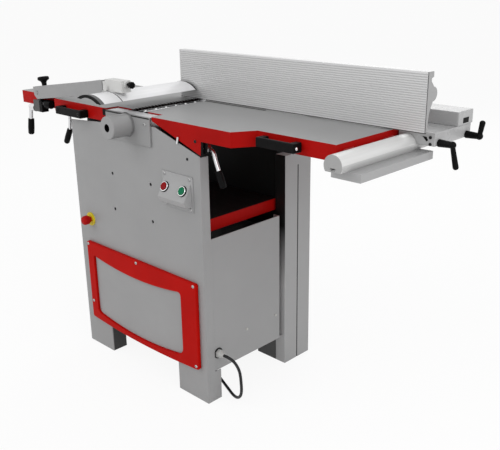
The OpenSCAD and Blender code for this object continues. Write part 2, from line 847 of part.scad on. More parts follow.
roller_flutes = 24;

// Fluted steel feed roller on two journals
module feed_roller(x) {
    y0 = mouth_y0 + end_play + 2;
    y1 = mouth_y1 - end_play - 2;
    pin_y0 = front_block_y1 - roller_pin_len;
    translate([x, 0, roller_z]) rotate([-90, 0, 0]) {
        difference() {
            translate([0, 0, y0]) cylinder(r = roller_r, h = y1 - y0);
            for (i = [0 : roller_flutes - 1]) rotate([0, 0, 360 * i / roller_flutes])
                translate([roller_r + 1, 0, y0 - 1]) cylinder(r = 2, h = y1 - y0 + 2, $fn = 4);
        }
        translate([0, 0, pin_y0]) cylinder(r = roller_pin_r, h = y0 - pin_y0 + eps);
        translate([0, 0, y1 - eps]) cylinder(r = roller_pin_r, h = rear_block_y0 + roller_pin_len - y1);
    }
}

module infeed_roller() {
    color(steel) feed_roller(roller_x);
}

module outfeed_roller() {
    color(steel) feed_roller(-roller_x);
}

bed_plate_t = 14;
bed_boss_r = bed_column_r + 10;

// Cast bed: plate, deep edge, cross ribs and a boss over the column
module thicknessing_bed() {
    x1 = bed_half;
    z0 = bed_top - bed_edge;
    y0 = mid_y - bed_w / 2;
    y1 = mid_y + bed_w / 2;
    color(table_red) {
        difference() {
            box([-x1, y0, z0], [x1, y1, bed_top]);
            box([-x1 + rib_t, y0 + rib_t, z0 - 1], [x1 - rib_t, y1 - rib_t, bed_top - bed_plate_t]);
        }
        for (x = [-x1 / 2, x1 / 2])
            box([x - rib_t / 2, y0 + 1, z0 + rib_t], [x + rib_t / 2, y1 - 1, bed_top - 1]);
        box([-x1 + 1, mid_y - rib_t / 2, z0 + rib_t], [x1 - 1, mid_y + rib_t / 2, bed_top - 1]);
        rod_z(0, mid_y, bed_boss_r, z0, bed_top - 1);
    }
}

nut_len = 30;

module bed_column() {
    z1 = bed_top - bed_edge;
    z0 = z1 - bed_column_len;
    color(steel) difference() {
        rod_z(0, mid_y, bed_column_r, z0, z1);
        rod_z(0, mid_y, screw_r + run_gap, z0 - 1, z0 + nut_len + 1);
        rod_z(0, mid_y, screw_r + 8, z0 + nut_len, z1 - 10);
    }
}

guide_flange_r = guide_r + 24;

module column_guide() {
    color("#3a3d40") difference() {
        union() {
            rod_z(0, mid_y, guide_r, base_z, guide_top);
            rod_z(0, mid_y, guide_flange_r, base_z, base_z + 12);
        }
        rod_z(0, mid_y, bed_column_r + run_gap, base_z - 1, guide_top + 1);
        rod_x(mid_y, mitre_z, wheel_shaft_r + run_gap, -guide_flange_r - 1, 0);
    }
}

mitre_gap = 0.4;

// Half of the mitre pair, as a plain cone
module mitre_gear() {
    cylinder(r1 = mitre_r1 - mitre_gap, r2 = mitre_r0 - mitre_gap, h = mitre_r1 - mitre_r0);
}

module lead_screw() {
    color(steel) {
        rod_z(0, mid_y, screw_foot_r, foot_h, base_z + 1);
        rod_z(0, mid_y, screw_r, base_z + pass_gap, guide_top - 20);
        translate([0, mid_y, mitre_z - mitre_r1]) mitre_gear();
    }
}

wheel_gap = 30;
wheel_rim_r = 8;
wheel_hub_r = 18;

// Handwheel on the outfeed end, with its shaft to the lead screw
module handwheel() {
    x = -end_x - wheel_gap;
    color(plastic_black) {
        rod_x(mid_y, mitre_z, wheel_shaft_r, x - 10, -mitre_r0);
        translate([-mitre_r1, mid_y, mitre_z]) rotate([0, 90, 0]) mitre_gear();
        translate([x, mid_y, mitre_z]) rotate([0, -90, 0]) {
            rotate_extrude() translate([wheel_r, 0]) circle(r = wheel_rim_r, $fn = 32);
            translate([0, 0, -10]) cylinder(r = wheel_hub_r, h = 24);
            for (a = [0, 120, 240]) rotate([0, 90, a]) cylinder(r = 6, h = wheel_r, $fn = 32);
            rotate([0, 0, 60]) translate([wheel_r, 0, 0]) cylinder(r = wheel_rim_r, h = 60);
        }
    }
}

// Tables

// Two hinge lugs behind a table, bored for the pin
module hinge_lugs() {
    for (x = [lug_x1, lug_x2]) difference() {
        union() {
            along_x([[table_back - rib_t, apron_z], [hinge_y, hinge_z - lug_r], [hinge_y, hinge_z + lug_r],
                [table_back - rib_t, table_h - 1]], x, x + lug_w);
            rod_x(hinge_y, hinge_z, lug_r, x, x + lug_w);
        }
        rod_x(hinge_y, hinge_z, hinge_pin_r + run_gap, x - 1, x + lug_w + 1);
    }
}

// Walls and ribs that both tables have, for a table that reaches to length with its lip ending at lip_end
// and a step of run along X to its narrow part, whose front is at edge_y
module table_frame(length, lip_end, run, edge_y) {
    box([mouth_half + rib_t + 6, mouth_y0, shallow_z], [lip_x + rib_t, mouth_y0 + rib_t, plate_z + 1]);
    box([mouth_half + rib_t + 6, table_back - rib_t, shallow_z], [lip_x + rib_t, table_back, plate_z + 1]);
    box([lip_x + 5, table_back - rib_t, apron_z], [length, table_back, plate_z + 1]);
    box([length - rib_t, edge_y, apron_z], [length, table_back, plate_z + 1]);
    box([lip_end + run - 2, edge_y, apron_z], [length, edge_y + rib_t, plate_z + 1]);
    along_z([[lip_end, front_y], [lip_end + run, edge_y], [lip_end + run, edge_y + rib_t],
        [lip_end - rib_t, front_y + rib_t], [lip_end - rib_t, front_y]], apron_z, plate_z + 1);
    for (x = [lip_end - 60, (lip_end + length) / 2])
        box([x, edge_y + 1, apron_z + rib_t], [x + rib_t, table_back - 1, plate_z + 1]);
    hinge_lugs();
}

function table_outline(length, lip_end, run, edge_y) = [[mouth_half, mouth_y0], [notch_x, mouth_y0],
    [lip_x, front_y], [lip_end, front_y], [lip_end + run, edge_y], [length, edge_y], [length, table_back],
    [mouth_half, table_back]];

lug_plate_t = 8;
lug_plate_y = lever_y - 16;

// Plate under a lip that carries the lock lever's shaft at p
module lever_lug(p) {
    difference() {
        box([p[0] - 12, lug_plate_y, p[1] - 11], [p[0] + 12, lug_plate_y + lug_plate_t, plate_z + 1]);
        rod_y(p[0], p[1], lever_shaft_r + run_gap, lug_plate_y - 1, lug_plate_y + lug_plate_t + 1);
    }
}

// Infeed table: its lip's apron grows into a gusset that hides the top of the front panel's slope
module right_table() {
    gusset = [[lip_x, plate_z + 1], [lip_x, plate_z], [gusset_x, gusset_z], [gusset_x + 3, apron_z],
        [infeed_lip, apron_z], [infeed_lip, plate_z + 1]];
    color(table_red) {
        along_z(table_outline(infeed_len, infeed_lip, step_run, narrow_y), plate_z, table_h);
        table_frame(infeed_len, infeed_lip, step_run, narrow_y);
        along_y(gusset, front_y, front_y + rib_t);
        lever_lug(right_lever[0]);
    }
}

slot_d = 12;
slot_w = 6;

// Outfeed table, with slots in its lip that quieten the cutter
module left_table() {
    pitch = planing_w / (lip_slots + 1);
    lip_step = 18;
    lip_apron = [[lip_x, plate_z + 1], [lip_x, apron_z + 14], [lip_x + lip_step, apron_z + 14],
        [lip_x + lip_step, apron_z], [outfeed_lip, apron_z], [outfeed_lip, plate_z + 1]];
    color(table_red) {
        mirror([1, 0, 0]) {
            difference() {
                along_z(table_outline(outfeed_len, outfeed_lip, outfeed_run, outfeed_y), plate_z, table_h);
                for (i = [1 : lip_slots])
                    translate([mouth_half - 1, mouth_y0 + i * pitch - slot_w / 2, plate_z - 1])
                        cube([slot_d + 1, slot_w, plate_t + 2]);
            }
            table_frame(outfeed_len, outfeed_lip, outfeed_run, outfeed_y);
            along_y(lip_apron, front_y, front_y + rib_t);
        }
        lever_lug(left_lever[0]);
    }
}

bracket_d = 30;
bracket_x0 = lug_x1 - 11;
bracket_x1 = lug_x2 + lug_w + 3;
bracket_z0 = table_h - 210;
bracket_z1 = table_h - 50;
ear_xs = [lug_x1 + lug_w + ear_gap, lug_x2 - ear_gap - ear_w];

// Hinge brackets on the rear panel, two ears each
module hinge_brackets() {
    color(plastic_black) for (s = [0, 1]) mirror([s, 0, 0]) {
        box([bracket_x0, back_in - bracket_d, bracket_z0], [bracket_x1, back_in, rear_top - 2]);
        for (x = ear_xs) difference() {
            union() {
                along_x([[back_in - bracket_d, bracket_z0 + 40], [back_in, bracket_z0 + 40], [back_in,
                    bracket_z1],
                    [hinge_y + lug_r - 1, hinge_z], [hinge_y - lug_r + 1, hinge_z]], x, x + ear_w);
                rod_x(hinge_y, hinge_z, lug_r - 1, x, x + ear_w);
            }
            rod_x(hinge_y, hinge_z, hinge_pin_r + 0.01, x - 1, x + ear_w + 1);
        }
    }
}

module hinge_pins() {
    color(steel) for (s = [0, 1]) mirror([s, 0, 0])
        rod_x(hinge_y, hinge_z, hinge_pin_r, lug_x1 - 4, lug_x2 + lug_w + 4);
}

handle_out = 31;
handle_bar = 10;
handle_end = 20;
handle_waist = 6;

// Bow handle from x0 to x1 on the apron at y: two end blocks and a bar that is thinner in the middle
module bow_handle(x0, x1, y, z0, z1) {
    r = 8;
    out = y - handle_out;
    gap0 = x0 + handle_end;
    gap1 = x1 - handle_end;
    side = concat([[x0, z1 - r / 2], [x0, z0 + r / 2], [x0 + r / 2, z0]],
        bow([gap0, z0], [gap1, z0], handle_waist), [[x1 - r / 2, z0], [x1, z0 + r / 2], [x1, z1 - r / 2]],
        [[x1 - r / 2, z1]], bow([gap1, z1], [gap0, z1], handle_waist), [[x0 + r / 2, z1]]);
    plan = concat([[x0, y]], corner([x0 + r, out + r], r, 180, 270), corner([x1 - r, out + r], r, 270, 360),
        [[x1, y], [gap1, y], [gap1, out + handle_bar + r], [gap1 - r, out + handle_bar]],
        [[gap0 + r, out + handle_bar], [gap0, out + handle_bar + r], [gap0, y]]);
    intersection() {
        along_z(plan, z0 - 1, z1 + 1);
        along_y(side, out - 1, y + 1);
    }
}

module right_table_handle() {
    x0 = infeed_len - 232.5;
    color(plastic_black) bow_handle(x0, x0 + 128.5, narrow_y, apron_z + 8, apron_z + 36);
}

module left_table_handle() {
    x1 = -lip_x - 96;
    color(plastic_black) bow_handle(x1 - 142, x1, front_y, apron_z + 1, apron_z + 29);
}

// Lock lever: shaft, hub, bent rod and grip through the points in X and Z
module lock_lever(p) {
    q = [for (v = p) [v[0], lever_y, v[1]]];
    rod_y(p[0][0], p[0][1], lever_shaft_r, lug_plate_y - 3, lever_y);
    rod_y(p[0][0], p[0][1], lever_hub_r, lug_plate_y + lug_plate_t + pass_gap, lever_y + 8);
    rod(q[0], q[1], lever_rod_r);
    translate(q[1]) sphere(r = lever_rod_r + 0.5);
    rod(q[1], q[2], lever_rod_r);
    rod(q[2], q[3], lever_grip_r);
}

module right_lock_lever() {
    color(steel) lock_lever(right_lever);
}

module left_lock_lever() {
    color(steel) lock_lever(left_lever);
}

// Fence

slot_neck = 8;
slot_head = 16;

module fence_rail() {
    flat = rail_h - rail_w / 2;
    color(light_metal) translate([rail_x, rail_y0 + rail_len, rail_top - rail_w / 2]) rotate([90, 0, 0])
        linear_extrude(rail_len) difference() {
            intersection() {
                circle(r = rail_w / 2);
                translate([-rail_w / 2, -flat]) square([rail_w, rail_h]);
            }
            translate([-slot_neck / 2, -flat - 1]) square([slot_neck, 7]);
            translate([-slot_head / 2, -flat + 4]) square([slot_head, 6]);
        }
}

tray_t = 3;
tab_w = 40;
tab_h = 36;

// Folded tray that carries the rail, with two tabs on the table's end
module rail_tray() {
    x0 = infeed_len + tab_t + 1;
    y1 = tray_y0 + tray_len;
    color(sheet_grey) {
        difference() {
            box([x0, tray_y0, tray_z0], [tray_x1, y1, rail_z0]);
            box([x0 + tray_t, tray_y0 + tray_t, tray_z0 - 1], [tray_x1 - tray_t, y1 - tray_t,
                rail_z0 - tray_t]);
        }
        for (y = [tray_y0 + 50, y1 - 50 - tab_w]) {
            box([infeed_len, y, rail_z0 - tray_t], [infeed_len + tab_t, y + tab_w, rail_z0 + tab_h]);
            box([infeed_len, y, rail_z0 - tray_t], [x0 + 1, y + tab_w, rail_z0]);
        }
    }
}

carriage_top = table_h + 1;
carriage_slack = 0.4;

// Carriage that caps the rail and is bored for the two clamp studs
module fence_carriage() {
    flat = rail_h - rail_w / 2;
    color(sheet_grey) difference() {
        box([infeed_len + tab_t + 0.7, carriage_y0, carriage_z0], [carriage_x1, carriage_y1, carriage_top]);
        translate([rail_x, carriage_y1 + 1, rail_top - rail_w / 2]) rotate([90, 0, 0])
            linear_extrude(carriage_y1 - carriage_y0 + 2) union() {
                circle(r = rail_w / 2 + carriage_slack);
                translate([-rail_w / 2 - carriage_slack, -flat - 1]) square([rail_w + 2 * carriage_slack,
                    flat + 1]);
            }
        for (y = [inner_stud_y, outer_stud_y])
            rod_x(y, clamp_stud_z, clamp_stud_r + run_gap, carriage_x1 - clamp_stud_len - 1, carriage_x1 + 1);
    }
}

tube_wall = 3;
arm_t = 10;
pin_over = 14;

// Box tube with two arms and pins that the fence swings on
module fence_support() {
    z0 = carriage_top;
    color(sheet_grey) {
        difference() {
            box([tube_x0, tube_y0, z0], [carriage_x1, tube_y0 + tube_d, z0 + tube_h]);
            box([tube_x0 - 1, tube_y0 + tube_wall, z0 + tube_wall],
                [carriage_x1 - tube_wall, tube_y0 + tube_d - tube_wall, z0 + tube_h - tube_wall]);
            box([carriage_x1 - tube_wall - 1, tube_y0 + tube_d / 2 - 2, z0 + 14],
                [carriage_x1 + 1, tube_y0 + tube_d / 2 + 18, z0 + 26]);
        }
        for (x = fence_arms) {
            along_x([[tube_y0 + 1, z0 + 6], [tube_y0 + 1, z0 + tube_h - 6], [fence_pivot_y,
                fence_pivot_z + 9],
                [fence_pivot_y, fence_pivot_z - 9]], x, x + arm_t);
            rod_x(fence_pivot_y, fence_pivot_z, 9, x, x + arm_t);
            rod_x(fence_pivot_y, fence_pivot_z, fence_pin_r, x - pin_over + arm_t / 2,
                x + pin_over + arm_t / 2);
        }
    }
}

groove_d = 1.2;
bulge_r = 18;
ear_t = 7;

// Section of the fence: grooved face at the left, hooked top edge and a round bulge behind
module fence_section() {
    pitch = (fence_h - 8) / fence_grooves;
    face = [for (i = [fence_grooves - 1 : -1 : 0]) let (z = 4 + i * pitch)
        for (p = [[0, z + pitch * 0.75], [groove_d, z + pitch * 0.65], [groove_d, z + pitch * 0.35],
            [0, z + pitch * 0.25]]) p];
    polygon(concat([[0, 0], [6, 0], [9, 20], [13, fence_h * 0.34], [26, fence_h * 0.5], [30, fence_h * 0.74],
        [16, fence_h * 0.84], [16, fence_h - 16], [25, fence_h - 14], [25, fence_h - 2], [23, fence_h],
        [0, fence_h]], face));
    translate([45 - bulge_r, fence_h * 0.63]) circle(r = bulge_r);
}

module fence() {
    color("#b4b4b4") difference() {
        union() {
            translate([fence_x0, fence_y, fence_z]) rotate([90, 0,
                90]) linear_extrude(fence_len) fence_section();
            for (x = fence_arms, e = [-ear_t - 1, arm_t + 1]) {
                rod_x(fence_pivot_y, fence_pivot_z, 9, x + e, x + e + ear_t);
                box([x + e, fence_y + 5, fence_pivot_z - 9], [x + e + ear_t, fence_pivot_y,
                    fence_pivot_z + 9]);
            }
        }
        for (x = fence_arms) rod_x(fence_pivot_y, fence_pivot_z, fence_pin_r + run_gap, x - 40, x + 50);
    }
}

clamp_hub_out = 38;

// Clamp lever: stud, hub and an arm that leans by lean from straight down
module clamp_lever(y, lean, reach) {
    x = carriage_x1;
    d = [0.16, sin(lean), -cos(lean)];
    hub = [x + clamp_hub_out, y, clamp_stud_z];
    color(plastic_black) {
        rod_x(y, clamp_stud_z, clamp_stud_r, x - clamp_stud_len, x + 2);
        translate([x + 1, y, clamp_stud_z]) rotate([0, 90, 0]) cylinder(r1 = 10, r2 = 8,
            h = clamp_hub_out - 1);
        translate(hub) sphere(r = 9.5);
        translate(hub) rotate([0, acos(unit(d)[2]), atan2(d[1], d[0])]) rotate_extrude()
            polygon(concat([[0, 0], [6, 0]], corner([1, reach - 6.5], 6.5, 0, 80), [[0, reach]]));
    }
}

module inner_clamp_lever() {
    clamp_lever(inner_stud_y, 8, 64);
}

module outer_clamp_lever() {
    clamp_lever(outer_stud_y, 180, 42);
}

// Guard

// Arched section of the guard between two depths under its outer face, crest at the origin
module arch(outer, inner) {
    r = (guard_w * guard_w / 4 + guard_rise * guard_rise) / (2 * guard_rise);
    translate([0, -r]) intersection() {
        difference() {
            circle(r = r - outer, $fn = 128);
            circle(r = r - inner, $fn = 128);
        }
        rotate(-guard_lean) translate([-guard_w, r - guard_rise]) square([2 * guard_w, 2 * r]);
    }
}

// Length of the arched section from y0 to y1
module arch_length(outer, inner, y0, y1) {
    translate([guard_x, y1, crest_z]) rotate([90, 0, 0]) linear_extrude(y1 - y0) arch(outer, inner);
}

seal_t = 3;

module guard_profile() {
    color(light_metal) {
        arch_length(0, guard_t, guard_y0 + cap_t, guard_seam);
        arch_length(0, guard_t, guard_seam + seal_t, guard_y1 - cap_t);
    }
}

// Plastic end caps and the seal in the seam
module guard_caps() {
    color(plastic_black) {
        arch_length(-0.6, guard_t + 5, guard_y0, guard_y0 + cap_t);
        arch_length(0, guard_t, guard_seam, guard_seam + seal_t);
        arch_length(-0.6, guard_t + 5, guard_y1 - cap_t, guard_y1);
    }
}

// Places the children on the arm's pivot, with their own X axis along the arm
module on_arm() {
    translate([arm_pivot_x, 0, arm_pivot_z]) rotate([0, -arm_angle, 0]) children();
}

arm_bevel = 14;
rear_wall_x = 60;
rear_wall_h = 22;

// Folded channel, open below: its rear wall is cut short over the table's lip, its front wall over the guard
module guard_arm() {
    h = arm_h / 2;
    y1 = arm_y0 + arm_d;
    tail = [[-arm_tail, h], [-arm_tail, -h + arm_bevel], [-arm_tail + arm_bevel, -h]];
    front = concat(tail, [[arm_len - 2 * arm_bevel, -h], [arm_len, -h + arm_bevel], [arm_len, h]]);
    rear = concat(tail, [[rear_wall_x, -h], [rear_wall_x, h - rear_wall_h], [arm_len, h - rear_wall_h],
        [arm_len, h]]);
    color(sheet_grey) on_arm() difference() {
        union() {
            along_y(front, arm_y0, arm_y0 + arm_wall);
            along_y(rear, y1 - arm_wall, y1);
            box([-arm_tail, arm_y0, h - arm_wall], [arm_len, y1, h]);
        }
        rod_y(0, 0, arm_pin_r + run_gap, arm_y0 - 1, y1 + 1);
        rod_z(knob_u, arm_y0 + arm_d / 2, knob_stem_r + run_gap, h - arm_wall - 1, h + 1);
    }
}

knob_r = 19;
knob_h = 30;
knob_lobes = 7;

// Lobed knob of radius r and height h, flaring up from its neck
module lobed_knob(r, h) {
    cylinder(r1 = r * 0.42, r2 = r * 0.6, h = h * 0.5);
    translate([0, 0, h * 0.5 - eps]) {
        cylinder(r = r * 0.85, h = h * 0.5);
        for (i = [0 : knob_lobes - 1]) rotate([0, 0, 360 * i / knob_lobes]) translate([r * 0.74, 0, 0])
            cylinder(r = r * 0.26, h = h * 0.5);
    }
}

module height_knob() {
    color(plastic_black) on_arm() translate([knob_u, arm_y0 + arm_d / 2, 0]) {
        translate([0, 0, -8]) cylinder(r = knob_stem_r, h = arm_h / 2 + 10);
        translate([0, 0, arm_h / 2 + pass_gap]) lobed_knob(knob_r, knob_h);
    }
}

clamp_x0 = guard_x - 28;
clamp_x1 = guard_x + 63;
clamp_z0 = crest_z + pass_gap;
clamp_h = 34;
clamp_ring_r = 10;
clamp_knob_z = clamp_z0 + clamp_h - clamp_ring_r;
clamp_d = 33;
tongue_len = 40;
tongue_out = 24;
tongue_gap = 0.5;
clamp_bore_r = 4;
clamp_bore_len = 14;

// Clamp on the guard's crest, its tongue held in the end of the arm
module guard_clamp() {
    y0 = arm_y0 + arm_wall + tongue_gap;
    y1 = arm_y0 + arm_d - arm_wall - tongue_gap;
    h = arm_h / 2 - arm_wall - tongue_gap;
    color("#e4e4e4") difference() {
        union() {
            on_arm() box([arm_len - tongue_len, y0, h - 16], [arm_len + tongue_out, y1, h]);
            box([clamp_x0, arm_y0, clamp_z0], [clamp_x1 - 8, arm_y0 + clamp_d, clamp_z0 + clamp_h]);
            rod_x(arm_y0 + clamp_d / 2, clamp_knob_z, clamp_ring_r, clamp_x1 - 9, clamp_x1);
            rod_y(clamp_x0 + 9, clamp_z0 + 9, 9, arm_y0 - 8, arm_y0 + 1);
        }
        rod_x(arm_y0 + clamp_d / 2, clamp_knob_z, clamp_bore_r + run_gap, clamp_x1 - clamp_bore_len,
            clamp_x1 + 1);
    }
}

module clamp_knob() {
    color(plastic_black) translate([clamp_x1, arm_y0 + clamp_d / 2, clamp_knob_z]) rotate([0, 90, 0]) {
        translate([0, 0, -clamp_bore_len + 1]) cylinder(r = clamp_bore_r, h = clamp_bore_len + 2);
        translate([0, 0, pass_gap]) lobed_knob(clamp_ring_r, 23);
    }
}

mount_x0 = arm_pivot_x - 34;
mount_x1 = arm_pivot_x + 20;
mount_y0 = outfeed_y - mount_d;
mount_z0 = apron_z - 26;
mount_z1 = arm_pivot_z - arm_h / 2 - 6;
mount_ear_r = 10;
mount_ear_t = 10;
mount_shaft_r = 7;
mount_shaft_in = 36;

// Block on the outfeed table's apron: an ear inside the arm carries its pivot pin, a bore the clamp shaft
module guard_mount() {
    y = arm_y0 + arm_d / 2;
    color(plastic_black) {
        difference() {
            along_x([[outfeed_y, mount_z0], [outfeed_y, mount_z1], [mount_y0, mount_z1], [mount_y0,
                mount_z0 + 8],
                [mount_y0 + 8, mount_z0]], mount_x0, mount_x1);
            rod_x(clamp_axis_y, clamp_axis_z, mount_shaft_r + run_gap, mount_x0 - 1,
                mount_x0 + mount_shaft_in + 1);
        }
        box([arm_pivot_x - mount_ear_r, y - mount_ear_t / 2, mount_z1 - 1],
            [arm_pivot_x + mount_ear_r, y + mount_ear_t / 2, arm_pivot_z]);
        rod_y(arm_pivot_x, arm_pivot_z, mount_ear_r - 0.5, y - mount_ear_t / 2, y + mount_ear_t / 2);
        rod_y(arm_pivot_x, arm_pivot_z, arm_pin_r, arm_y0 - 2, arm_y0 + arm_d + arm_table_gap / 2);
    }
}

mount_rod_r = 7;
mount_grip_r = 10;

// Clamp lever of the guard's mount: shaft, round hub, hanging rod and grip
module mount_clamp_lever() {
    top = [mount_x0 - 38, clamp_axis_y, clamp_axis_z];
    joint = top + [-10, 0, -50];
    color(steel) {
        rod_x(clamp_axis_y, clamp_axis_z, mount_shaft_r, top[0], mount_x0 + mount_shaft_in);
        rod_x(clamp_axis_y, clamp_axis_z, 13, mount_x0 - 29, mount_x0 - 2);
        translate(top) sphere(r = mount_rod_r + 2);
        rod(top, joint, mount_rod_r);
        rod(joint + [1, 0, 5], joint + [-9, 0, -46], mount_grip_r);
    }
}

// Lead

// Centre line of the coil: in by a spiral, up in half a turn, and out again by a spiral above
function coil_point(turn) =
    let (r = coil_r - coil_pitch * min(turn, coil_end - turn), lift = max(0, min(1, (turn - coil_turns) * 2)))
    [coil_c[0] + r * cos(360 * turn), coil_c[1] + r * sin(360 * turn),
        coil_c[2] + coil_pitch * (1 - cos(180 * lift)) / 2];
coil_path = concat([coil_point(0) - [0, 2 * cord_r, 0]],
    [for (i = [0 : coil_rings * coil_end]) coil_point(i / coil_rings)],
    [coil_point(coil_end) - [0, 2 * cord_r, 0]]);
coil_gap = min([for (i = [0 : len(coil_path) - 1]) for (j = [i + 8 : 1 : len(coil_path) - 1])
    norm(coil_path[i] - coil_path[j])]) - 2 * cord_r;
echo(coil_gap = coil_gap);

module power_cord() {
    color(plastic_black) {
        cord_tube(cord_route, cord_r, cord_sides);
        cord_tube(cord_tail, cord_r, cord_sides);
    }
}

module cord_coil() {
    color(plastic_black) cord_tube(coil_path, cord_r, coil_sides);
}

tie_w = 6;
tie_t = 1;

// Tie round the bundle of turns
module cord_tie() {
    y0 = coil_c[1] - coil_r + 0.75 * coil_pitch - cord_r - pass_gap;
    y1 = coil_c[1] - coil_r + (coil_turns - 0.25) * coil_pitch + cord_r + pass_gap;
    z1 = coil_c[2] + coil_pitch + cord_r + pass_gap;
    x = coil_c[0];
    color(plastic_black) difference() {
        box([x - tie_w / 2, y0 - tie_t, 0], [x + tie_w / 2, y1 + tie_t, z1 + tie_t]);
        box([x - tie_w, y0, tie_t], [x + tie_w, y1, z1]);
    }
}

// Round plug with its grip and three pins
module power_plug() {
    color(plastic_black) translate(plug_tip) rotate([90, 0, 0]) {
        rotate_extrude() polygon([[0, 0], [cord_r + 2, 0], [cord_r + 4, 14], [plug_r - 3, 20], [plug_r - 3,
            44],
            [plug_r, 46], [plug_r, plug_len], [0, plug_len]]);
        for (a = [90, 210, 330]) rotate([0, 0, a]) translate([9, 0, plug_len - 1]) cylinder(r = 2.5, h = 20);
    }
}

front_panel();
rear_panel();
right_end_panel();
left_end_panel();
rear_columns();
base_plate();
throat_cheeks();
bearing_blocks();
cutter_bearings();
bearing_cover();
chuck_guard();
motor_door();
door_frame();
switch_box();
estop_plate();
cable_gland();
panel_screws();
motor();
drive_belt();
hinge_brackets();
hinge_pins();
column_guide();
power_cord();
cord_coil();
cord_tie();
power_plug();
cutter_block();
cutter_knives();
cutter_pulley();
motor_pulley();
infeed_roller();
outfeed_roller();
thicknessing_bed();
bed_column();
lead_screw();
handwheel();
right_table();
right_table_handle();
fence_rail();
rail_tray();
right_lock_lever();
left_table();
left_table_handle();
guard_mount();
left_lock_lever();
mount_clamp_lever();
guard_arm();
height_knob();
guard_clamp();
clamp_knob();
guard_profile();
guard_caps();
fence_carriage();
fence_support();
fence();
inner_clamp_lever();
outer_clamp_lever();
start_button();
stop_button();
estop_button();
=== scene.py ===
import json
import math

import bmesh
import bpy
from mathutils import Matrix, Vector

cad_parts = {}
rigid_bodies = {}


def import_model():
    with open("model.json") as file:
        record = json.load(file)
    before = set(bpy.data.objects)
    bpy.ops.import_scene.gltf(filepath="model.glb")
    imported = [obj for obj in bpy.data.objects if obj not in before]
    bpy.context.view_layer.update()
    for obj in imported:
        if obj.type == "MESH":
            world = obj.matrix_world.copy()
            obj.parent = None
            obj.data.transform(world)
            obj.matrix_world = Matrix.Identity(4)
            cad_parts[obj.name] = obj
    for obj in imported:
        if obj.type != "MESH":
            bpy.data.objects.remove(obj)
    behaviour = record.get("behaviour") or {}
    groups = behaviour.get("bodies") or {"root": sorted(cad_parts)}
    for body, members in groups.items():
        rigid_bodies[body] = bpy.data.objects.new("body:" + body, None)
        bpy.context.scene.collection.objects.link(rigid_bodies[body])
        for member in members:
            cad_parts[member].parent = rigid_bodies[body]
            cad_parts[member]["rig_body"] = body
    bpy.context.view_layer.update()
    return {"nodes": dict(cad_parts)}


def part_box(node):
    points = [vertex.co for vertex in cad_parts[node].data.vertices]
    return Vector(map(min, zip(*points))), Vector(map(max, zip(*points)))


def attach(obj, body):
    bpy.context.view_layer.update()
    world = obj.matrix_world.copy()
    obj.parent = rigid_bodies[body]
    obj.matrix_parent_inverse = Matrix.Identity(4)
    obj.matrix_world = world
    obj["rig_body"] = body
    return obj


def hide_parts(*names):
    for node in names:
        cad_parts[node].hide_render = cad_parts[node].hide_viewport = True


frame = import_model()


# Camera and stage
# The machine stands alone on a pale floor under soft studio light. The camera is that of the photograph,
# found by fitting the edges of the tables, fence and cabinet.
camera_place = Vector((1.7365, -1.4935, 1.233))
camera_turn = math.radians(44.51)
camera_dip = math.radians(19.18)
camera_roll = math.radians(-0.84)
camera_lens = 52.43
sensor_width = 36
floor_reach = 60.0
floor_white = 0.9
floor_glow = 0.9
soft_light_strength = 0.62
lamp_aim = Vector((0, 0, 0.6))
lamp_places = {
    "key_lamp": ((-1.6, -3.4, 3.2), 3.0, 62),
    "side_lamp": ((3.6, -0.6, 2.4), 2.6, 46),
    "back_lamp": ((-1.2, 3.4, 2.8), 2.6, 30),
}

forward = Vector((-math.sin(camera_turn) * math.cos(camera_dip),
                  math.cos(camera_turn) * math.cos(camera_dip), -math.sin(camera_dip)))
level_right = Vector((math.cos(camera_turn), math.sin(camera_turn), 0))
level_up = level_right.cross(forward)
right = level_right * math.cos(camera_roll) + level_up * math.sin(camera_roll)
up = level_up * math.cos(camera_roll) - level_right * math.sin(camera_roll)
camera = bpy.data.objects.new("camera", bpy.data.cameras.new("camera"))
camera.data.lens = camera_lens
camera.data.sensor_width = sensor_width
camera.data.sensor_fit = "HORIZONTAL"
camera.matrix_world = Matrix((right, up, -forward)).transposed().to_4x4()
camera.location = camera_place
bpy.context.scene.collection.objects.link(camera)
bpy.context.scene.camera = camera
bpy.context.scene.view_settings.view_transform = "Standard"


def feed(tree, socket, value):
    """Links a socket to another one, or sets it to a plain value."""
    if isinstance(value, bpy.types.NodeSocket):
        tree.links.new(value, socket)
    else:
        socket.default_value = value


def maths(tree, operation, first, second):
    """The outcome of a sum or comparison of two values, each a number or a socket."""
    step = tree.nodes.new("ShaderNodeMath")
    step.operation = operation
    feed(tree, step.inputs[0], first)
    feed(tree, step.inputs[1], second)
    return step.outputs[0]


def white_for_the_camera(tree, lit_socket, white_socket, out_socket):
    """Shows one shader to lamps and diffuse light, and the other to the camera, glossy and clear surfaces."""
    path = tree.nodes.new("ShaderNodeLightPath")
    seen = maths(tree, "MAXIMUM", path.outputs["Is Camera Ray"], path.outputs["Is Glossy Ray"])
    seen = maths(tree, "MAXIMUM", seen, path.outputs["Is Transmission Ray"])
    mix = tree.nodes.new("ShaderNodeMixShader")
    tree.links.new(seen, mix.inputs[0])
    tree.links.new(lit_socket, mix.inputs[1])
    tree.links.new(white_socket, mix.inputs[2])
    tree.links.new(mix.outputs[0], out_socket)


world = bpy.data.worlds.new("studio")
bpy.context.scene.world = world
world.use_nodes = True
soft_light = world.node_tree.nodes["Background"]
soft_light.inputs["Color"].default_value = (1, 1, 1, 1)
soft_light.inputs["Strength"].default_value = soft_light_strength
backdrop = world.node_tree.nodes.new("ShaderNodeBackground")
backdrop.inputs["Color"].default_value = (1, 1, 1, 1)
white_for_the_camera(world.node_tree, soft_light.outputs[0], backdrop.outputs[0],
                     world.node_tree.nodes["World Output"].inputs["Surface"])

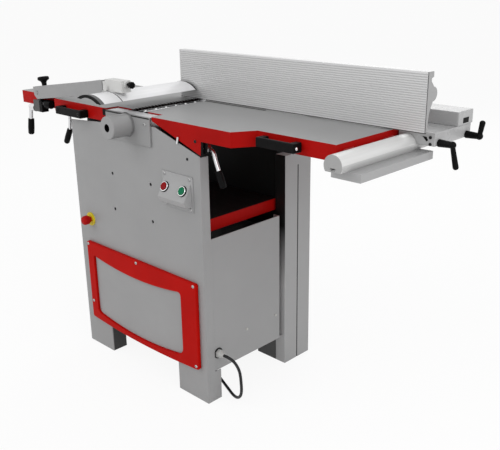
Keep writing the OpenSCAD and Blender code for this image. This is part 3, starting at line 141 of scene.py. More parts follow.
floor_mesh = bpy.data.meshes.new("studio_floor")
floor_corners = [(-floor_reach, -floor_reach, 0), (floor_reach, -floor_reach, 0),
                 (floor_reach, floor_reach, 0), (-floor_reach, floor_reach, 0)]
floor_mesh.from_pydata(floor_corners, [], [(0, 1, 2, 3)])
floor = bpy.data.objects.new("studio_floor", floor_mesh)
bpy.context.scene.collection.objects.link(floor)
floor_paint = bpy.data.materials.new("pale_floor")
floor_paint.use_nodes = True
floor_shader = floor_paint.node_tree.nodes["Principled BSDF"]
floor_shader.inputs["Base Color"].default_value = (floor_white, floor_white, floor_white, 1)
floor_shader.inputs["Roughness"].default_value = 0.8
floor_shader.inputs["Specular IOR Level"].default_value = 0.1
paper_white = floor_paint.node_tree.nodes.new("ShaderNodeEmission")
pale_mix = floor_paint.node_tree.nodes.new("ShaderNodeMixShader")
pale_mix.inputs[0].default_value = floor_glow
floor_paint.node_tree.links.new(floor_shader.outputs[0], pale_mix.inputs[1])
floor_paint.node_tree.links.new(paper_white.outputs[0], pale_mix.inputs[2])
white_for_the_camera(floor_paint.node_tree, floor_shader.outputs[0], pale_mix.outputs[0],
                     floor_paint.node_tree.nodes["Material Output"].inputs["Surface"])
floor_mesh.materials.append(floor_paint)

for lamp_name, (lamp_place, lamp_size, lamp_power) in lamp_places.items():
    lamp_data = bpy.data.lights.new(lamp_name, "AREA")
    lamp_data.size = lamp_size
    lamp_data.energy = lamp_power
    lamp = bpy.data.objects.new(lamp_name, lamp_data)
    lamp.location = lamp_place
    lamp.rotation_mode = "QUATERNION"
    lamp.rotation_quaternion = (lamp_aim - Vector(lamp_place)).to_track_quat("-Z", "Y")
    bpy.context.scene.collection.objects.link(lamp)


# Power cord
# A round rubber lead of 9 mm. It leaves the gland on the end panel, drops to the floor and runs under the
# cabinet, where its spare length lies in a tied coil beside the plug.
MM = 0.001
cord_radius = 4.5 * MM
cord_route = [(330.5, -182, 154), (350, -182, 154), (368, -182, 151), (383, -182, 142), (393, -181, 127),
              (397, -180, 108), (397, -178, 86), (395, -175, 64), (389, -171, 44), (378, -166, 27),
              (362, -160, 14), (343, -153, 7), (322, -145, 4.5), (300, -136, 4.5), (278, -127, 4.5),
              (256, -118, 4.5), (234, -109, 4.5), (212, -100, 4.5), (191, -89, 4.5), (171, -76, 4.5),
              (152, -61, 4.5), (135, -43, 4.5), (121, -23, 4.5), (110, 0, 4.5), (103, 24, 5), (100, 42, 6)]
cord_tail = [(-18, 42, 15.8), (-19, 22, 16.2), (-21, 2, 18), (-22, -18, 19.4), (-22, -30, 19.5)]
coil_centre = Vector((41, 60, 6))
coil_radius = 59
coil_pitch = 9.8
coil_turns = 2
coil_end = 2 * coil_turns + 0.5
coil_steps = 24


def coil_point(turn):
    """A point of the coil: in by a spiral, up in half a turn, and out again above."""
    reach = coil_radius - coil_pitch * min(turn, coil_end - turn)
    climb = max(0, min(1, (turn - coil_turns) * 2))
    lift = coil_pitch * (1 - math.cos(math.pi * climb)) / 2
    angle = 2 * math.pi * turn
    return coil_centre + Vector((reach * math.cos(angle), reach * math.sin(angle), lift))


cord_points = [Vector(p) for p in cord_route]
cord_points += [coil_point(step / coil_steps) for step in range(int(coil_steps * coil_end) + 1)]
cord_points += [Vector(p) for p in cord_tail]
cord_curve = bpy.data.curves.new("power_lead", "CURVE")
cord_curve.dimensions = "3D"
cord_curve.bevel_depth = cord_radius
cord_curve.bevel_resolution = 5
cord_curve.use_fill_caps = True
cord_curve.resolution_u = 5
cord_line = cord_curve.splines.new("BEZIER")
cord_line.bezier_points.add(len(cord_points) - 1)
for knot, point in zip(cord_line.bezier_points, cord_points):
    knot.co = point * MM
    knot.handle_left_type = "AUTO"
    knot.handle_right_type = "AUTO"
power_lead = bpy.data.objects.new("power_lead", cord_curve)
bpy.context.scene.collection.objects.link(power_lead)


def new_finish(name, colour, roughness, metallic=0.0, shine=0.3):
    """A material whose shader holds what is the same all over the surface."""
    finish = bpy.data.materials.new(name)
    finish.use_nodes = True
    shader = finish.node_tree.nodes["Principled BSDF"]
    shader.inputs["Base Color"].default_value = (*colour, 1)
    shader.inputs["Roughness"].default_value = roughness
    shader.inputs["Metallic"].default_value = metallic
    shader.inputs["Specular IOR Level"].default_value = shine
    return finish


def shader_of(finish):
    return finish.node_tree.nodes["Principled BSDF"]


def object_place(finish, stretch=(1, 1, 1)):
    """Place on the piece in metres, stretched along the axes for drawn or brushed patterns."""
    tree = finish.node_tree
    place = tree.nodes.new("ShaderNodeTexCoord")
    mapping = tree.nodes.new("ShaderNodeMapping")
    mapping.inputs["Scale"].default_value = stretch
    tree.links.new(place.outputs["Object"], mapping.inputs["Vector"])
    return mapping.outputs["Vector"]


def cloud(finish, scale, detail=3.0, stretch=(1, 1, 1)):
    """A soft random pattern, scale cells to the metre."""
    noise = finish.node_tree.nodes.new("ShaderNodeTexNoise")
    noise.inputs["Scale"].default_value = scale
    noise.inputs["Detail"].default_value = detail
    finish.node_tree.links.new(object_place(finish, stretch), noise.inputs["Vector"])
    return noise.outputs[0]


def spread(finish, pattern, low, high, start=0.3, end=0.7):
    """Turns a pattern into a number between low and high."""
    scale = finish.node_tree.nodes.new("ShaderNodeMapRange")
    scale.inputs["From Min"].default_value = start
    scale.inputs["From Max"].default_value = end
    scale.inputs["To Min"].default_value = low
    scale.inputs["To Max"].default_value = high
    finish.node_tree.links.new(pattern, scale.inputs["Value"])
    return scale.outputs["Result"]


def blend_colours(finish, share, first, second):
    """A colour between two others, each a colour or a socket."""
    mix = finish.node_tree.nodes.new("ShaderNodeMix")
    mix.data_type = "RGBA"
    finish.node_tree.links.new(share, mix.inputs[0])
    for socket, colour in ((mix.inputs[6], first), (mix.inputs[7], second)):
        plain = isinstance(colour, tuple)
        feed(finish.node_tree, socket, (*colour, 1) if plain else colour)
    return mix.outputs[2]


def set_socket(finish, name, value):
    finish.node_tree.links.new(value, shader_of(finish).inputs[name])


def relief(finish, pattern, depth):
    """Fine unevenness of the surface, depth metres high."""
    bump = finish.node_tree.nodes.new("ShaderNodeBump")
    bump.inputs["Distance"].default_value = depth
    bump.inputs["Strength"].default_value = 1
    finish.node_tree.links.new(pattern, bump.inputs["Height"])
    set_socket(finish, "Normal", bump.outputs["Normal"])


def tone(colour, share):
    return tuple(channel * share for channel in colour)


def varied(finish, pattern, colour, change):
    """A colour that wanders by change to either side, along a pattern."""
    shade = spread(finish, pattern, 0, 1)
    return blend_colours(finish, shade, tone(colour, 1 - change), tone(colour, 1 + change))


def mottle(finish, colour, roughness, scale, change=0.06, gloss_change=0.06):
    """Slight clouds of tone and gloss, as on any painted or moulded surface."""
    set_socket(finish, "Base Color", varied(finish, cloud(finish, scale), colour, change))
    haze = cloud(finish, scale * 4.3)
    set_socket(finish, "Roughness", spread(finish, haze, roughness - gloss_change, roughness + gloss_change))


nodes = frame["nodes"]


def dress(finish, *names):
    """Gives CAD nodes this finish."""
    for name in names:
        nodes[name].data.materials.clear()
        nodes[name].data.materials.append(finish)


def black_rubber(name):
    colour = (0.012, 0.012, 0.013)
    finish = new_finish(name, colour, 0.6)
    mottle(finish, colour, 0.58, 60, 0.25, 0.08)
    relief(finish, cloud(finish, 1800), 0.00006)
    return finish


cord_rubber = black_rubber("cord_rubber")
cord_curve.materials.append(cord_rubber)
dress(cord_rubber, "power_cord", "cord_coil")
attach(power_lead, "cabinet")
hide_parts("power_cord", "cord_coil")


# Cabinet
# Folded steel sheet of 3 mm, powder coated in a silver grey: front panel with its two feet, end panels,
# rear panel, the two rear columns with an angled foot beside each, and the base plate. They are welded and
# screwed together.
silver_grey = (0.305, 0.305, 0.307)
bare_black = (0.008, 0.008, 0.008)
slit_shade_black = (0.03, 0.03, 0.03)
sheet_t = 3
sheet_edge = 0.8 * MM
paint_reach = 0.2
front_y = -229.5
foot_h = 98
right_foot_x = 200
column_shade = (280, 480)
slit_y = (167, 171)
slit_top = 669
foot_x = (191, 274.3)
foot_y = (108.5, 165)


def powder_coat(name, colour, roughness=0.45, shine=0.3):
    finish = new_finish(name, colour, roughness, 0.0, shine)
    mottle(finish, colour, roughness, 5, 0.03, 0.05)
    relief(finish, cloud(finish, 1400, 2), 0.00004)
    return finish


def smooth_faces(mesh, sharp_degrees=38):
    mesh.polygons.foreach_set("use_smooth", [True] * len(mesh.polygons))
    mesh.set_sharp_from_angle(angle=math.radians(sharp_degrees))


def settle(piece):
    """Turns a piece with live modifiers into a plain mesh."""
    depsgraph = bpy.context.evaluated_depsgraph_get()
    plain = bpy.data.meshes.new_from_object(piece.evaluated_get(depsgraph))
    piece.modifiers.clear()
    piece.data = plain
    return piece


def ease_edges(piece, width, steps=2, held=False):
    """Rounds the sharp edges by width, as paint or a file leaves them, and keeps the flats flat."""
    edges = piece.modifiers.new("eased_edges", "BEVEL")
    edges.width = width
    edges.segments = steps
    edges.limit_method = "ANGLE"
    edges.angle_limit = math.radians(40)
    edges.use_clamp_overlap = held
    flats = piece.modifiers.new("flat_faces", "WEIGHTED_NORMAL")
    flats.keep_sharp = True
    return settle(piece)


def new_piece(name, mesh, finish, body):
    """Puts a mesh in the scene as a piece that rides on a body."""
    piece = bpy.data.objects.new(name, mesh)
    bpy.context.scene.collection.objects.link(piece)
    mesh.materials.clear()
    mesh.materials.append(finish)
    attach(piece, body)
    return piece


def eased(name, width, finish, steps=2, held=False, lowest=None):
    """A merged copy of a CAD piece with eased edges, cut off below lowest, which stands for it."""
    dress(finish, name)
    source = nodes[name].data
    form = bmesh.new()
    points = [form.verts.new(point.co) for point in source.vertices]
    for face in source.polygons:
        form.faces.new([points[k] for k in face.vertices])
    bmesh.ops.remove_doubles(form, verts=form.verts, dist=0.000002)
    bmesh.ops.dissolve_limit(form, angle_limit=math.radians(0.6), verts=form.verts, edges=form.edges)
    if lowest is not None:
        whole = form.verts[:] + form.edges[:] + form.faces[:]
        cut = bmesh.ops.bisect_plane(form, geom=whole, plane_co=(0, 0, lowest), plane_no=(0, 0, 1),
                                     clear_inner=True)
        rim = [part for part in cut["geom_cut"] if isinstance(part, bmesh.types.BMEdge)]
        bmesh.ops.holes_fill(form, edges=rim)
    mesh = bpy.data.meshes.new(name + "_shell")
    form.to_mesh(mesh)
    form.free()
    smooth_faces(mesh)
    piece = new_piece(name + "_shell", mesh, finish, nodes[name]["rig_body"])
    ease_edges(piece, width, steps, held)
    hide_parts(name)
    return piece


def zone(finish, *tests):
    """1 where a place passes each test, an axis, a comparison and a value in metres, and 0 elsewhere."""
    tree = finish.node_tree
    place = tree.nodes.new("ShaderNodeSeparateXYZ")
    tree.links.new(object_place(finish), place.inputs[0])
    share = None
    for axis, comparison, value in tests:
        passed = maths(tree, comparison, place.outputs[axis], value)
        share = passed if share is None else maths(tree, "MULTIPLY", share, passed)
    return share


def fade(finish, axis, start, end, *tests):
    """Rises from 0 at start to 1 at end along an axis, in metres, and is 0 where the place fails a test."""
    tree = finish.node_tree
    place = tree.nodes.new("ShaderNodeSeparateXYZ")
    tree.links.new(object_place(finish), place.inputs[0])
    rise = spread(finish, place.outputs[axis], 0, 1, start, end)
    return maths(tree, "MULTIPLY", rise, zone(finish, *tests))


def recolour(finish, share, colour):
    """Lays another colour over the surface where share is 1."""
    coat = shader_of(finish).inputs["Base Color"].links[0].from_socket
    set_socket(finish, "Base Color", blend_colours(finish, share, coat, colour))


sheet_coat = powder_coat("silver_powder_coat", silver_grey)
for sheet_part in ("right_end_panel", "left_end_panel", "rear_panel"):
    eased(sheet_part, sheet_edge, sheet_coat)
dress(sheet_coat, "base_plate")
front_coat = powder_coat("front_coat", silver_grey)
# Painted shade: the inside of the left front foot is coloured near black, as shade falls there.
shaded_inside_left_foot = zone(front_coat, ("X", "LESS_THAN", right_foot_x * MM), ("Z", "LESS_THAN", foot_h * MM),
                        ("Y", "GREATER_THAN", (front_y + sheet_t + paint_reach) * MM))
recolour(front_coat, shaded_inside_left_foot, tone(silver_grey, 0.12))
eased("front_panel", sheet_edge, front_coat)
# Painted light: the columns' coat is a lighter copy of the grey and their front face is lighter still, and
# painted shade fades the front to black going up.
column_lit_and_shaded_coat = powder_coat("column_lit_and_shaded_coat", tone(silver_grey, 1.12))
column_front = ("Y", "LESS_THAN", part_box("rear_columns")[0].y + 0.7 * MM)
recolour(column_lit_and_shaded_coat, zone(column_lit_and_shaded_coat, column_front), tone(silver_grey, 1.6))
in_shade = fade(column_lit_and_shaded_coat, "Z", column_shade[0] * MM, column_shade[1] * MM, column_front)
recolour(column_lit_and_shaded_coat, in_shade, bare_black)
# Painted shade: a slit in the column is coloured near black.
in_slit_shade = zone(column_lit_and_shaded_coat, ("Y", "GREATER_THAN", (slit_y[0] - paint_reach) * MM),
               ("Y", "LESS_THAN", (slit_y[1] + paint_reach) * MM), ("Z", "LESS_THAN", slit_top * MM))
recolour(column_lit_and_shaded_coat, in_slit_shade, slit_shade_black)
eased("rear_columns", sheet_edge, column_lit_and_shaded_coat)
dress(powder_coat("black_powder_coat", bare_black, 0.55, 0.15), "throat_cheeks", "hinge_brackets",
      "column_guide")


def flat_ring(form, line, level, axis):
    """New points along a flat line, at a level on the axis square to it, in millimetres."""
    places = [(u, level, v) if axis == "Y" else (u, v, level) for u, v in line]
    return [form.verts.new(Vector(place) * MM) for place in places]


def flat_piece(name, outline, axis, reach, finish, body, ease, steps=2, window=None):
    """A piece with this outline, from one end of its reach along an axis to the other, and eased edges.

    All are in millimetres. A window in it has as many points as the outline.
    """
    form = bmesh.new()
    near = flat_ring(form, outline, reach[0], axis)
    far = flat_ring(form, outline, reach[1], axis)
    count = len(outline)
    sides = [(k, (k + 1) % count) for k in range(count)]
    for k, m in sides:
        form.faces.new((near[k], far[k], far[m], near[m]))
    if window:
        near_in = flat_ring(form, window, reach[0], axis)
        far_in = flat_ring(form, window, reach[1], axis)
        for k, m in sides:
            form.faces.new((near_in[m], far_in[m], far_in[k], near_in[k]))
            form.faces.new((near[k], near[m], near_in[m], near_in[k]))
            form.faces.new((far[m], far[k], far_in[k], far_in[m]))
    else:
        form.faces.new(near)
        form.faces.new(list(reversed(far)))
    bmesh.ops.recalc_face_normals(form, faces=form.faces)
    mesh = bpy.data.meshes.new(name)
    form.to_mesh(mesh)
    form.free()
    return ease_edges(new_piece(name, mesh, finish, body), ease * MM, steps, True)


foot_inner = (foot_x[0] + sheet_t, foot_y[0] + sheet_t)
foot_line = [(foot_x[0], foot_y[0]), (foot_x[1], foot_y[0]), (foot_x[1], foot_inner[1]), foot_inner,
             (foot_inner[0], foot_y[1]), (foot_x[0], foot_y[1])]
# Painted shade: the rear feet's coat is a darkened copy of the grey, for feet that lie under the cabinet.
shaded_rear_foot_coat = powder_coat("shaded_rear_foot_coat", tone(silver_grey, 0.2))
for side, way in (("right", 1), ("left", -1)):
    foot_outline = [(way * x, y) for x, y in foot_line]
    flat_piece(side + "_rear_foot", foot_outline, "Z", (0, foot_h), shaded_rear_foot_coat, "cabinet",
               ease=0.6)


# Bearing cover and shaft guard
# A plate over the front bearing, with a turned sleeve round the end of the cutter shaft. The sleeve is bored
# for the key, and a black liner in the bore paints the shade inside it.
cover_face_y = -235.5
lip_shadow_z = 841.5
shaft_z = 815
sleeve_face_y = -306.5
sleeve_shade = (830, 775)
sleeve_root = 9
key_bore_r = 12
key_bore_len = 40
shade_liner_outer_r = key_bore_r - 0.05
shade_liner_inner_r = key_bore_r - 1.2
shade_liner_floor = key_bore_len - 3
shade_liner_set_back = 0.3


def turned(name, profile, start, direction, finish, body, sides=48):
    """A closed turned piece on a body. Profile gives (radius, way along the axis) in millimetres."""
    axis = Vector(direction).normalized()
    across = axis.orthogonal().normalized()
    beside = axis.cross(across)
    form = bmesh.new()
    rings = []
    for radius, way in profile:
        middle = Vector(start) + axis * way
        if radius < 0.001:
            rings.append([form.verts.new(middle * MM)])
            continue
        ring = []
        for k in range(sides):
            turn = 2 * math.pi * k / sides
            reach = across * radius * math.cos(turn) + beside * radius * math.sin(turn)
            ring.append(form.verts.new((middle + reach) * MM))
        rings.append(ring)
    pairs = list(zip(rings, rings[1:]))
    if len(rings[0]) > 1:
        pairs.append((rings[-1], rings[0]))
    for ring, after in pairs:
        for k in range(sides):
            m = (k + 1) % sides
            if len(ring) == 1:
                form.faces.new((ring[0], after[k], after[m]))
            elif len(after) == 1:
                form.faces.new((ring[k], after[0], ring[m]))
            else:
                form.faces.new((ring[k], after[k], after[m], ring[m]))
    bmesh.ops.recalc_face_normals(form, faces=form.faces)
    mesh = bpy.data.meshes.new(name)
    form.to_mesh(mesh)
    form.free()
    smooth_faces(mesh)
    return new_piece(name, mesh, finish, body)


cover_coat = powder_coat("cover_coat", tone(silver_grey, 0.93))
# Painted shadow: a black line along the top of the cover's face, where the table lips shade it.
lip_shadow_line = zone(cover_coat, ("Y", "LESS_THAN", (cover_face_y + 2 * paint_reach) * MM),
                ("Z", "GREATER_THAN", lip_shadow_z * MM))
recolour(cover_coat, lip_shadow_line, bare_black)
eased("bearing_cover", 1.0 * MM, cover_coat)
sleeve_coat = powder_coat("sleeve_coat", silver_grey, 0.4)
behind_face = ("Y", "GREATER_THAN", (sleeve_face_y + 1) * MM)
# Painted shade: the sleeve darkens towards its underside and towards its root at the cover.
painted_underside_shade = fade(sleeve_coat, "Z", sleeve_shade[0] * MM, sleeve_shade[1] * MM, behind_face)
recolour(sleeve_coat, painted_underside_shade, tone(silver_grey, 0.66))
painted_root_shade = fade(sleeve_coat, "Y", (cover_face_y - sleeve_root) * MM, cover_face_y * MM, behind_face)
recolour(sleeve_coat, painted_root_shade, tone(silver_grey, 0.4))
dress(sleeve_coat, "chuck_guard")


def moulded_black(name, roughness=0.45):
    colour = (0.0035, 0.0035, 0.0037)
    finish = new_finish(name, colour, roughness, 0.0, 0.07)
    mottle(finish, colour, roughness, 40, 0.2, 0.07)
    relief(finish, cloud(finish, 2600, 2), 0.00005)
    return finish


black_moulding = moulded_black("black_moulding")
# Painted shade: a black liner inside the key bore stands for the shade there.
shade_liner = [(0, shade_liner_floor), (shade_liner_inner_r, shade_liner_floor), (shade_liner_inner_r, shade_liner_set_back),
         (shade_liner_outer_r, shade_liner_set_back), (shade_liner_outer_r, key_bore_len - shade_liner_set_back),
         (0, key_bore_len - shade_liner_set_back)]
turned("key_bore_liner", shade_liner, (0, sleeve_face_y, shaft_z), (0, 1, 0), black_moulding, "cabinet")


# Motor door
# A sheet door over the motor in a moulded red frame, held by screws on the frame. The lower edge of the frame
# and both long edges of its window sag, and its bands have four different widths.
frame_t = 12
door_t = 4
door_gap = 0.4
frame_x = (-264, 282)
frame_z = (110, 388)
window_x = (-230, 212)
window_z = (135, 343)
frame_radii = (6, 6, 6, 6)
window_radii = (14, 25, 14, 8)
frame_sags = (13, 0)
window_sags = (21, 20)


def gloss_plastic(name, colour, roughness=0.34, shine=0.2):
    finish = new_finish(name, colour, roughness, 0.0, shine)
    mottle(finish, colour, roughness, 12, 0.05, 0.05)
    relief(finish, cloud(finish, 700, 2), 0.00003)
    return finish


def sagging_outline(x, z, radii, sags, steps=16, corner_steps=6):
    """Points (x, z) round a rectangle whose lower and upper edges sag, from the lower left corner on."""
    centres = [(x[0] + radii[0], z[0] + radii[0]), (x[1] - radii[1], z[0] + radii[1]),
               (x[1] - radii[2], z[1] - radii[2]), (x[0] + radii[3], z[1] - radii[3])]
    points = []
    for side, ((middle_x, middle_z), radius) in enumerate(zip(centres, radii)):
        for k in range(corner_steps + 1):
            turn = math.radians(180 + 90 * side + 90 * k / corner_steps)
            points.append((middle_x + radius * math.cos(turn), middle_z + radius * math.sin(turn)))
        if side in (0, 2):
            start, end = points[-1][0], centres[side + 1][0]
            points += [(start + (end - start) * k / steps, points[-1][1]) for k in range(1, steps)]
    middle = (x[0] + x[1]) / 2
    half = (x[1] - x[0]) / 2
    sagged = []
    for across, height in points:
        share = 1 - ((across - middle) / half) ** 2
        sag = sags[0] if height < (z[0] + z[1]) / 2 else sags[1]
        sagged.append((across, height - sag * share))
    return sagged


door_coat = powder_coat("door_coat", tone(silver_grey, 1.02))
frame_red = gloss_plastic("frame_red", (0.43, 0.005, 0.003), 0.38, 0.03)
dress(door_coat, "motor_door")
dress(frame_red, "door_frame")
frame_line = sagging_outline(frame_x, frame_z, frame_radii, frame_sags)
window_line = sagging_outline(window_x, window_z, window_radii, window_sags)
door_x = (window_x[0] + door_gap, window_x[1] - door_gap)
door_z = (window_z[0] + door_gap, window_z[1] - door_gap)
door_line = sagging_outline(door_x, door_z, window_radii, window_sags)
frame_face_y = front_y - frame_t
frame_piece = flat_piece("door_frame_moulding", frame_line, "Y", (frame_face_y, front_y), frame_red,
                         "cabinet", ease=2.2, steps=3, window=window_line)
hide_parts("door_frame")
door_piece = flat_piece("motor_door_panel", door_line, "Y", (front_y - door_t, front_y), door_coat,
                        "cabinet", ease=0.3)
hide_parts("motor_door")


# Switch box
# A folded box on the front panel with a sloping face. Each push button stands in a bright bezel on a black
# gasket.
# Painted light: the box's coat is a lighter copy of the grey, for its brighter sloping face.
lit_box_coat = powder_coat("switch_box_lit_coat", tone(silver_grey, 1.12))
eased("switch_box", 1.6 * MM, lit_box_coat, 3)
button_places = {"stop": 172.5, "start": 248.5}
button_y = -244.5
button_z = 661
slope_depth = 30
slope_height = 56
slope_turn = math.atan2(slope_depth, slope_height)
slope_out = Vector((0, -math.cos(slope_turn), math.sin(slope_turn)))
dress(gloss_plastic("red_cap", (0.24, 0.003, 0.005), 0.3, 0.06), "stop_button")
dress(gloss_plastic("green_cap", (0.002, 0.15, 0.065), 0.3, 0.06), "start_button")


def bare_metal(name, colour, roughness, stretch=(1, 1, 1), scale=120, change=0.08):
    """Machined metal, its fine marks drawn out along the axis that stretch leaves small."""
    finish = new_finish(name, colour, roughness, 1.0)
    marks = cloud(finish, scale, 4, stretch)
    set_socket(finish, "Base Color", varied(finish, marks, colour, change))
    set_socket(finish, "Roughness", spread(finish, marks, roughness - change / 2, roughness + change))
    relief(finish, marks, 0.000012)
    return finish


bezel_chrome = bare_metal("bezel_chrome", (0.82, 0.82, 0.83), 0.16)
gasket = [(11.6, 0.1), (16, 0.1), (16, 1.4), (15.4, 2), (11.6, 2)]
bezel = [(11.6, 2), (14.2, 2), (14.2, 4.2), (13.4, 5.2), (12.2, 5.2), (11.6, 4.6)]
for button, button_x in button_places.items():
    seat = (button_x, button_y, button_z)
    turned(button + "_gasket", gasket, seat, slope_out, black_moulding, "cabinet")
    turned(button + "_bezel", bezel, seat, slope_out, bezel_chrome, "cabinet")


# Emergency stop
# A moulded red mushroom button on a round yellow plate. It stands in a hole on the left of the front panel,
# above the motor door.
dress(gloss_plastic("mushroom_red", (0.38, 0.006, 0.006), 0.35, 0.06), "estop_button")
dress(gloss_plastic("yellow_plate", (0.62, 0.5, 0.02), 0.4), "estop_plate")


# Cable gland
# A pale nylon gland screwed into the end panel, on a rubber washer, with a nut that grips the lead. Two pale
# plugs close holes in the panel.
end_panel_x = 305.5
gland_place = (end_panel_x, -182, 154)
plug_places = {"front_hole_plug": (end_panel_x, -58, 187), "rear_hole_plug": (end_panel_x, 74, 187)}
outwards_x = (1, 0, 0)
dress(gloss_plastic("gland_nylon", (0.5, 0.5, 0.49), 0.45), "cable_gland")
washer = [(10.5, 0.05), (17, 0.05), (17, 1.6), (16, 2.4), (10.5, 2.4)]
washer_rubber = black_rubber("washer_rubber")
turned("gland_washer", washer, gland_place, outwards_x, washer_rubber, "cabinet")
hole_plug = [(0, 0.05), (4.6, 0.05), (4.6, 1), (3.8, 2), (2, 2.4), (0, 2.5)]
plug_nylon = gloss_plastic("plug_nylon", (0.46, 0.46, 0.44), 0.4)
for plug_name, plug_place in plug_places.items():
    turned(plug_name, hole_plug, plug_place, outwards_x, plug_nylon, "cabinet", 32)


# Drive
# The finned motor on the base plate, its ribbed pulley, the flat ribbed belt and the pulley on the rear end
# of the cutter shaft. They are hidden behind the door.
dress(powder_coat("motor_paint", (0.03, 0.036, 0.042), 0.5), "motor")
dress(black_rubber("belt_rubber"), "drive_belt")
turned_steel = bare_metal("turned_steel", (0.5, 0.5, 0.51), 0.32, (1, 0.06, 1))
dress(turned_steel, "cutter_pulley", "motor_pulley", "cutter_bearings")


# Cutter and feed
# The knife block turns in two bearing blocks of cast aluminium between the table lips, and each knife is held
# by a row of screws. The fluted rollers below it draw the board over the rising bed.
cutter_body_r = 33.5
knife_turns = (25, 145, 265)
screws_behind_knife = 13
knife_screws = 8
screw_row_start = -170
screw_row_len = 276
head_sides = 24
dress(bare_metal("blackened_cutter_steel", (0.16, 0.16, 0.165), 0.34, (1, 0.05, 1)), "cutter_block")
dress(bare_metal("knife_steel", (0.7, 0.7, 0.71), 0.2, (1, 0.05, 1)), "cutter_knives")
dress(bare_metal("roller_steel", (0.3, 0.3, 0.31), 0.35, (1, 0.1, 1)), "infeed_roller", "outfeed_roller")
dress(bare_metal("cast_aluminium", (0.62, 0.62, 0.63), 0.42), "bearing_blocks")
dress(bare_metal("column_steel", (0.45, 0.45, 0.46), 0.25, (1, 1, 0.05)), "bed_column", "lead_screw")

head_form = bmesh.new()
head_profile = [(1.0, -0.3, 0), (1.0, 0.22, 0), (0.82, 0.5, 0), (0.6, 0.6, 0), (0.46, 0.6, 1), (0.46, 0.3, 1)]
head_rings = []
for reach, height, hexagon in head_profile:
    ring = []
    for k in range(head_sides):
        turn = 2 * math.pi * k / head_sides
        corner_share = math.cos(math.pi / 6) / math.cos(turn % (math.pi / 3) - math.pi / 6)
        across = reach * (corner_share if hexagon else 1)
        ring.append(head_form.verts.new((across * math.cos(turn), across * math.sin(turn), height)))
    head_rings.append(ring)
for ring, after in zip(head_rings, head_rings[1:]):
    for k in range(head_sides):
        m = (k + 1) % head_sides
        head_form.faces.new((ring[k], ring[m], after[m], after[k]))
head_form.faces.new(list(reversed(head_rings[0])))
head_form.faces.new(head_rings[-1])
bmesh.ops.recalc_face_normals(head_form, faces=head_form.faces)
head_mesh = bpy.data.meshes.new("socket_head")
head_form.to_mesh(head_mesh)
head_form.free()
smooth_faces(head_mesh)
socket_head = bpy.data.objects.new("socket_head", head_mesh)


def geometry_tree(name, kinds):
    """A node tree that takes geometry and a value of each kind, and the nodes at its two ends."""
    tree = bpy.data.node_groups.new(name, "GeometryNodeTree")
    tree.interface.new_socket("Geometry", in_out="OUTPUT", socket_type="NodeSocketGeometry")
    tree.interface.new_socket("Geometry", in_out="INPUT", socket_type="NodeSocketGeometry")
    for value_name, kind in kinds.items():
        tree.interface.new_socket(value_name, in_out="INPUT", socket_type="NodeSocket" + kind)
    return tree, tree.nodes.new("NodeGroupInput"), tree.nodes.new("NodeGroupOutput")


screw_kinds = {"Head": "Object", "Head radius": "Float", "Finish": "Material"}
screw_tree, screw_in, screw_out = geometry_tree("screw_rows", screw_kinds)
facing = screw_tree.nodes.new("GeometryNodeInputNamedAttribute")
facing.data_type = "FLOAT_VECTOR"
facing.inputs["Name"].default_value = "facing"
aim = screw_tree.nodes.new("FunctionNodeAlignRotationToVector")
aim.axis = "Z"
head_info = screw_tree.nodes.new("GeometryNodeObjectInfo")
stand = screw_tree.nodes.new("GeometryNodeInstanceOnPoints")
realize = screw_tree.nodes.new("GeometryNodeRealizeInstances")
paint_screws = screw_tree.nodes.new("GeometryNodeSetMaterial")
for origin, target in (
        (screw_in.outputs["Geometry"], stand.inputs["Points"]),
        (screw_in.outputs["Head"], head_info.inputs["Object"]),
        (head_info.outputs["Geometry"], stand.inputs["Instance"]),
        (facing.outputs[0], aim.inputs["Vector"]),
        (aim.outputs[0], stand.inputs["Rotation"]),
        (screw_in.outputs["Head radius"], stand.inputs["Scale"]),
        (stand.outputs[0], realize.inputs[0]),
        (realize.outputs[0], paint_screws.inputs["Geometry"]),
        (screw_in.outputs["Finish"], paint_screws.inputs["Material"]),
        (paint_screws.outputs[0], screw_out.inputs["Geometry"])):
    screw_tree.links.new(origin, target)


def grown(name, mesh, tree, values, body):
    """A piece on a body that a node tree makes from a mesh and named values."""
    piece = bpy.data.objects.new(name, mesh)
    bpy.context.scene.collection.objects.link(piece)
    maker = piece.modifiers.new(tree.name, "NODES")
    maker.node_group = tree
    for value_name, value in values.items():
        maker[tree.interface.items_tree[value_name].identifier] = value
    settle(piece)
    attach(piece, body)
    return piece


def screws(name, places, radius, finish, body):
    """Screw heads at places, each a point and the way it faces, in millimetres, made one mesh on a body."""
    dots = bpy.data.meshes.new(name + "_places")
    dots.from_pydata([Vector(point) * MM for point, way in places], [], [])
    ways = dots.attributes.new("facing", "FLOAT_VECTOR", "POINT")
    for k, (point, way) in enumerate(places):
        ways.data[k].vector = way
    values = {"Head": socket_head, "Head radius": radius * MM, "Finish": finish}
    return grown(name, dots, screw_tree, values, body)


bright_screw = bare_metal("bright_screw", (0.72, 0.72, 0.72), 0.24)
knife_rows = []
for turn in knife_turns:
    lean = math.radians(turn - screws_behind_knife)
    outwards = Vector((math.sin(lean), 0, math.cos(lean)))
    for k in range(knife_screws):
        along = screw_row_start + screw_row_len * k / (knife_screws - 1)
        knife_rows.append((Vector((0, along, shaft_z)) + outwards * (cutter_body_r - 1), outwards))
screws("knife_screws", knife_rows, 4.2, bright_screw, "cutter")


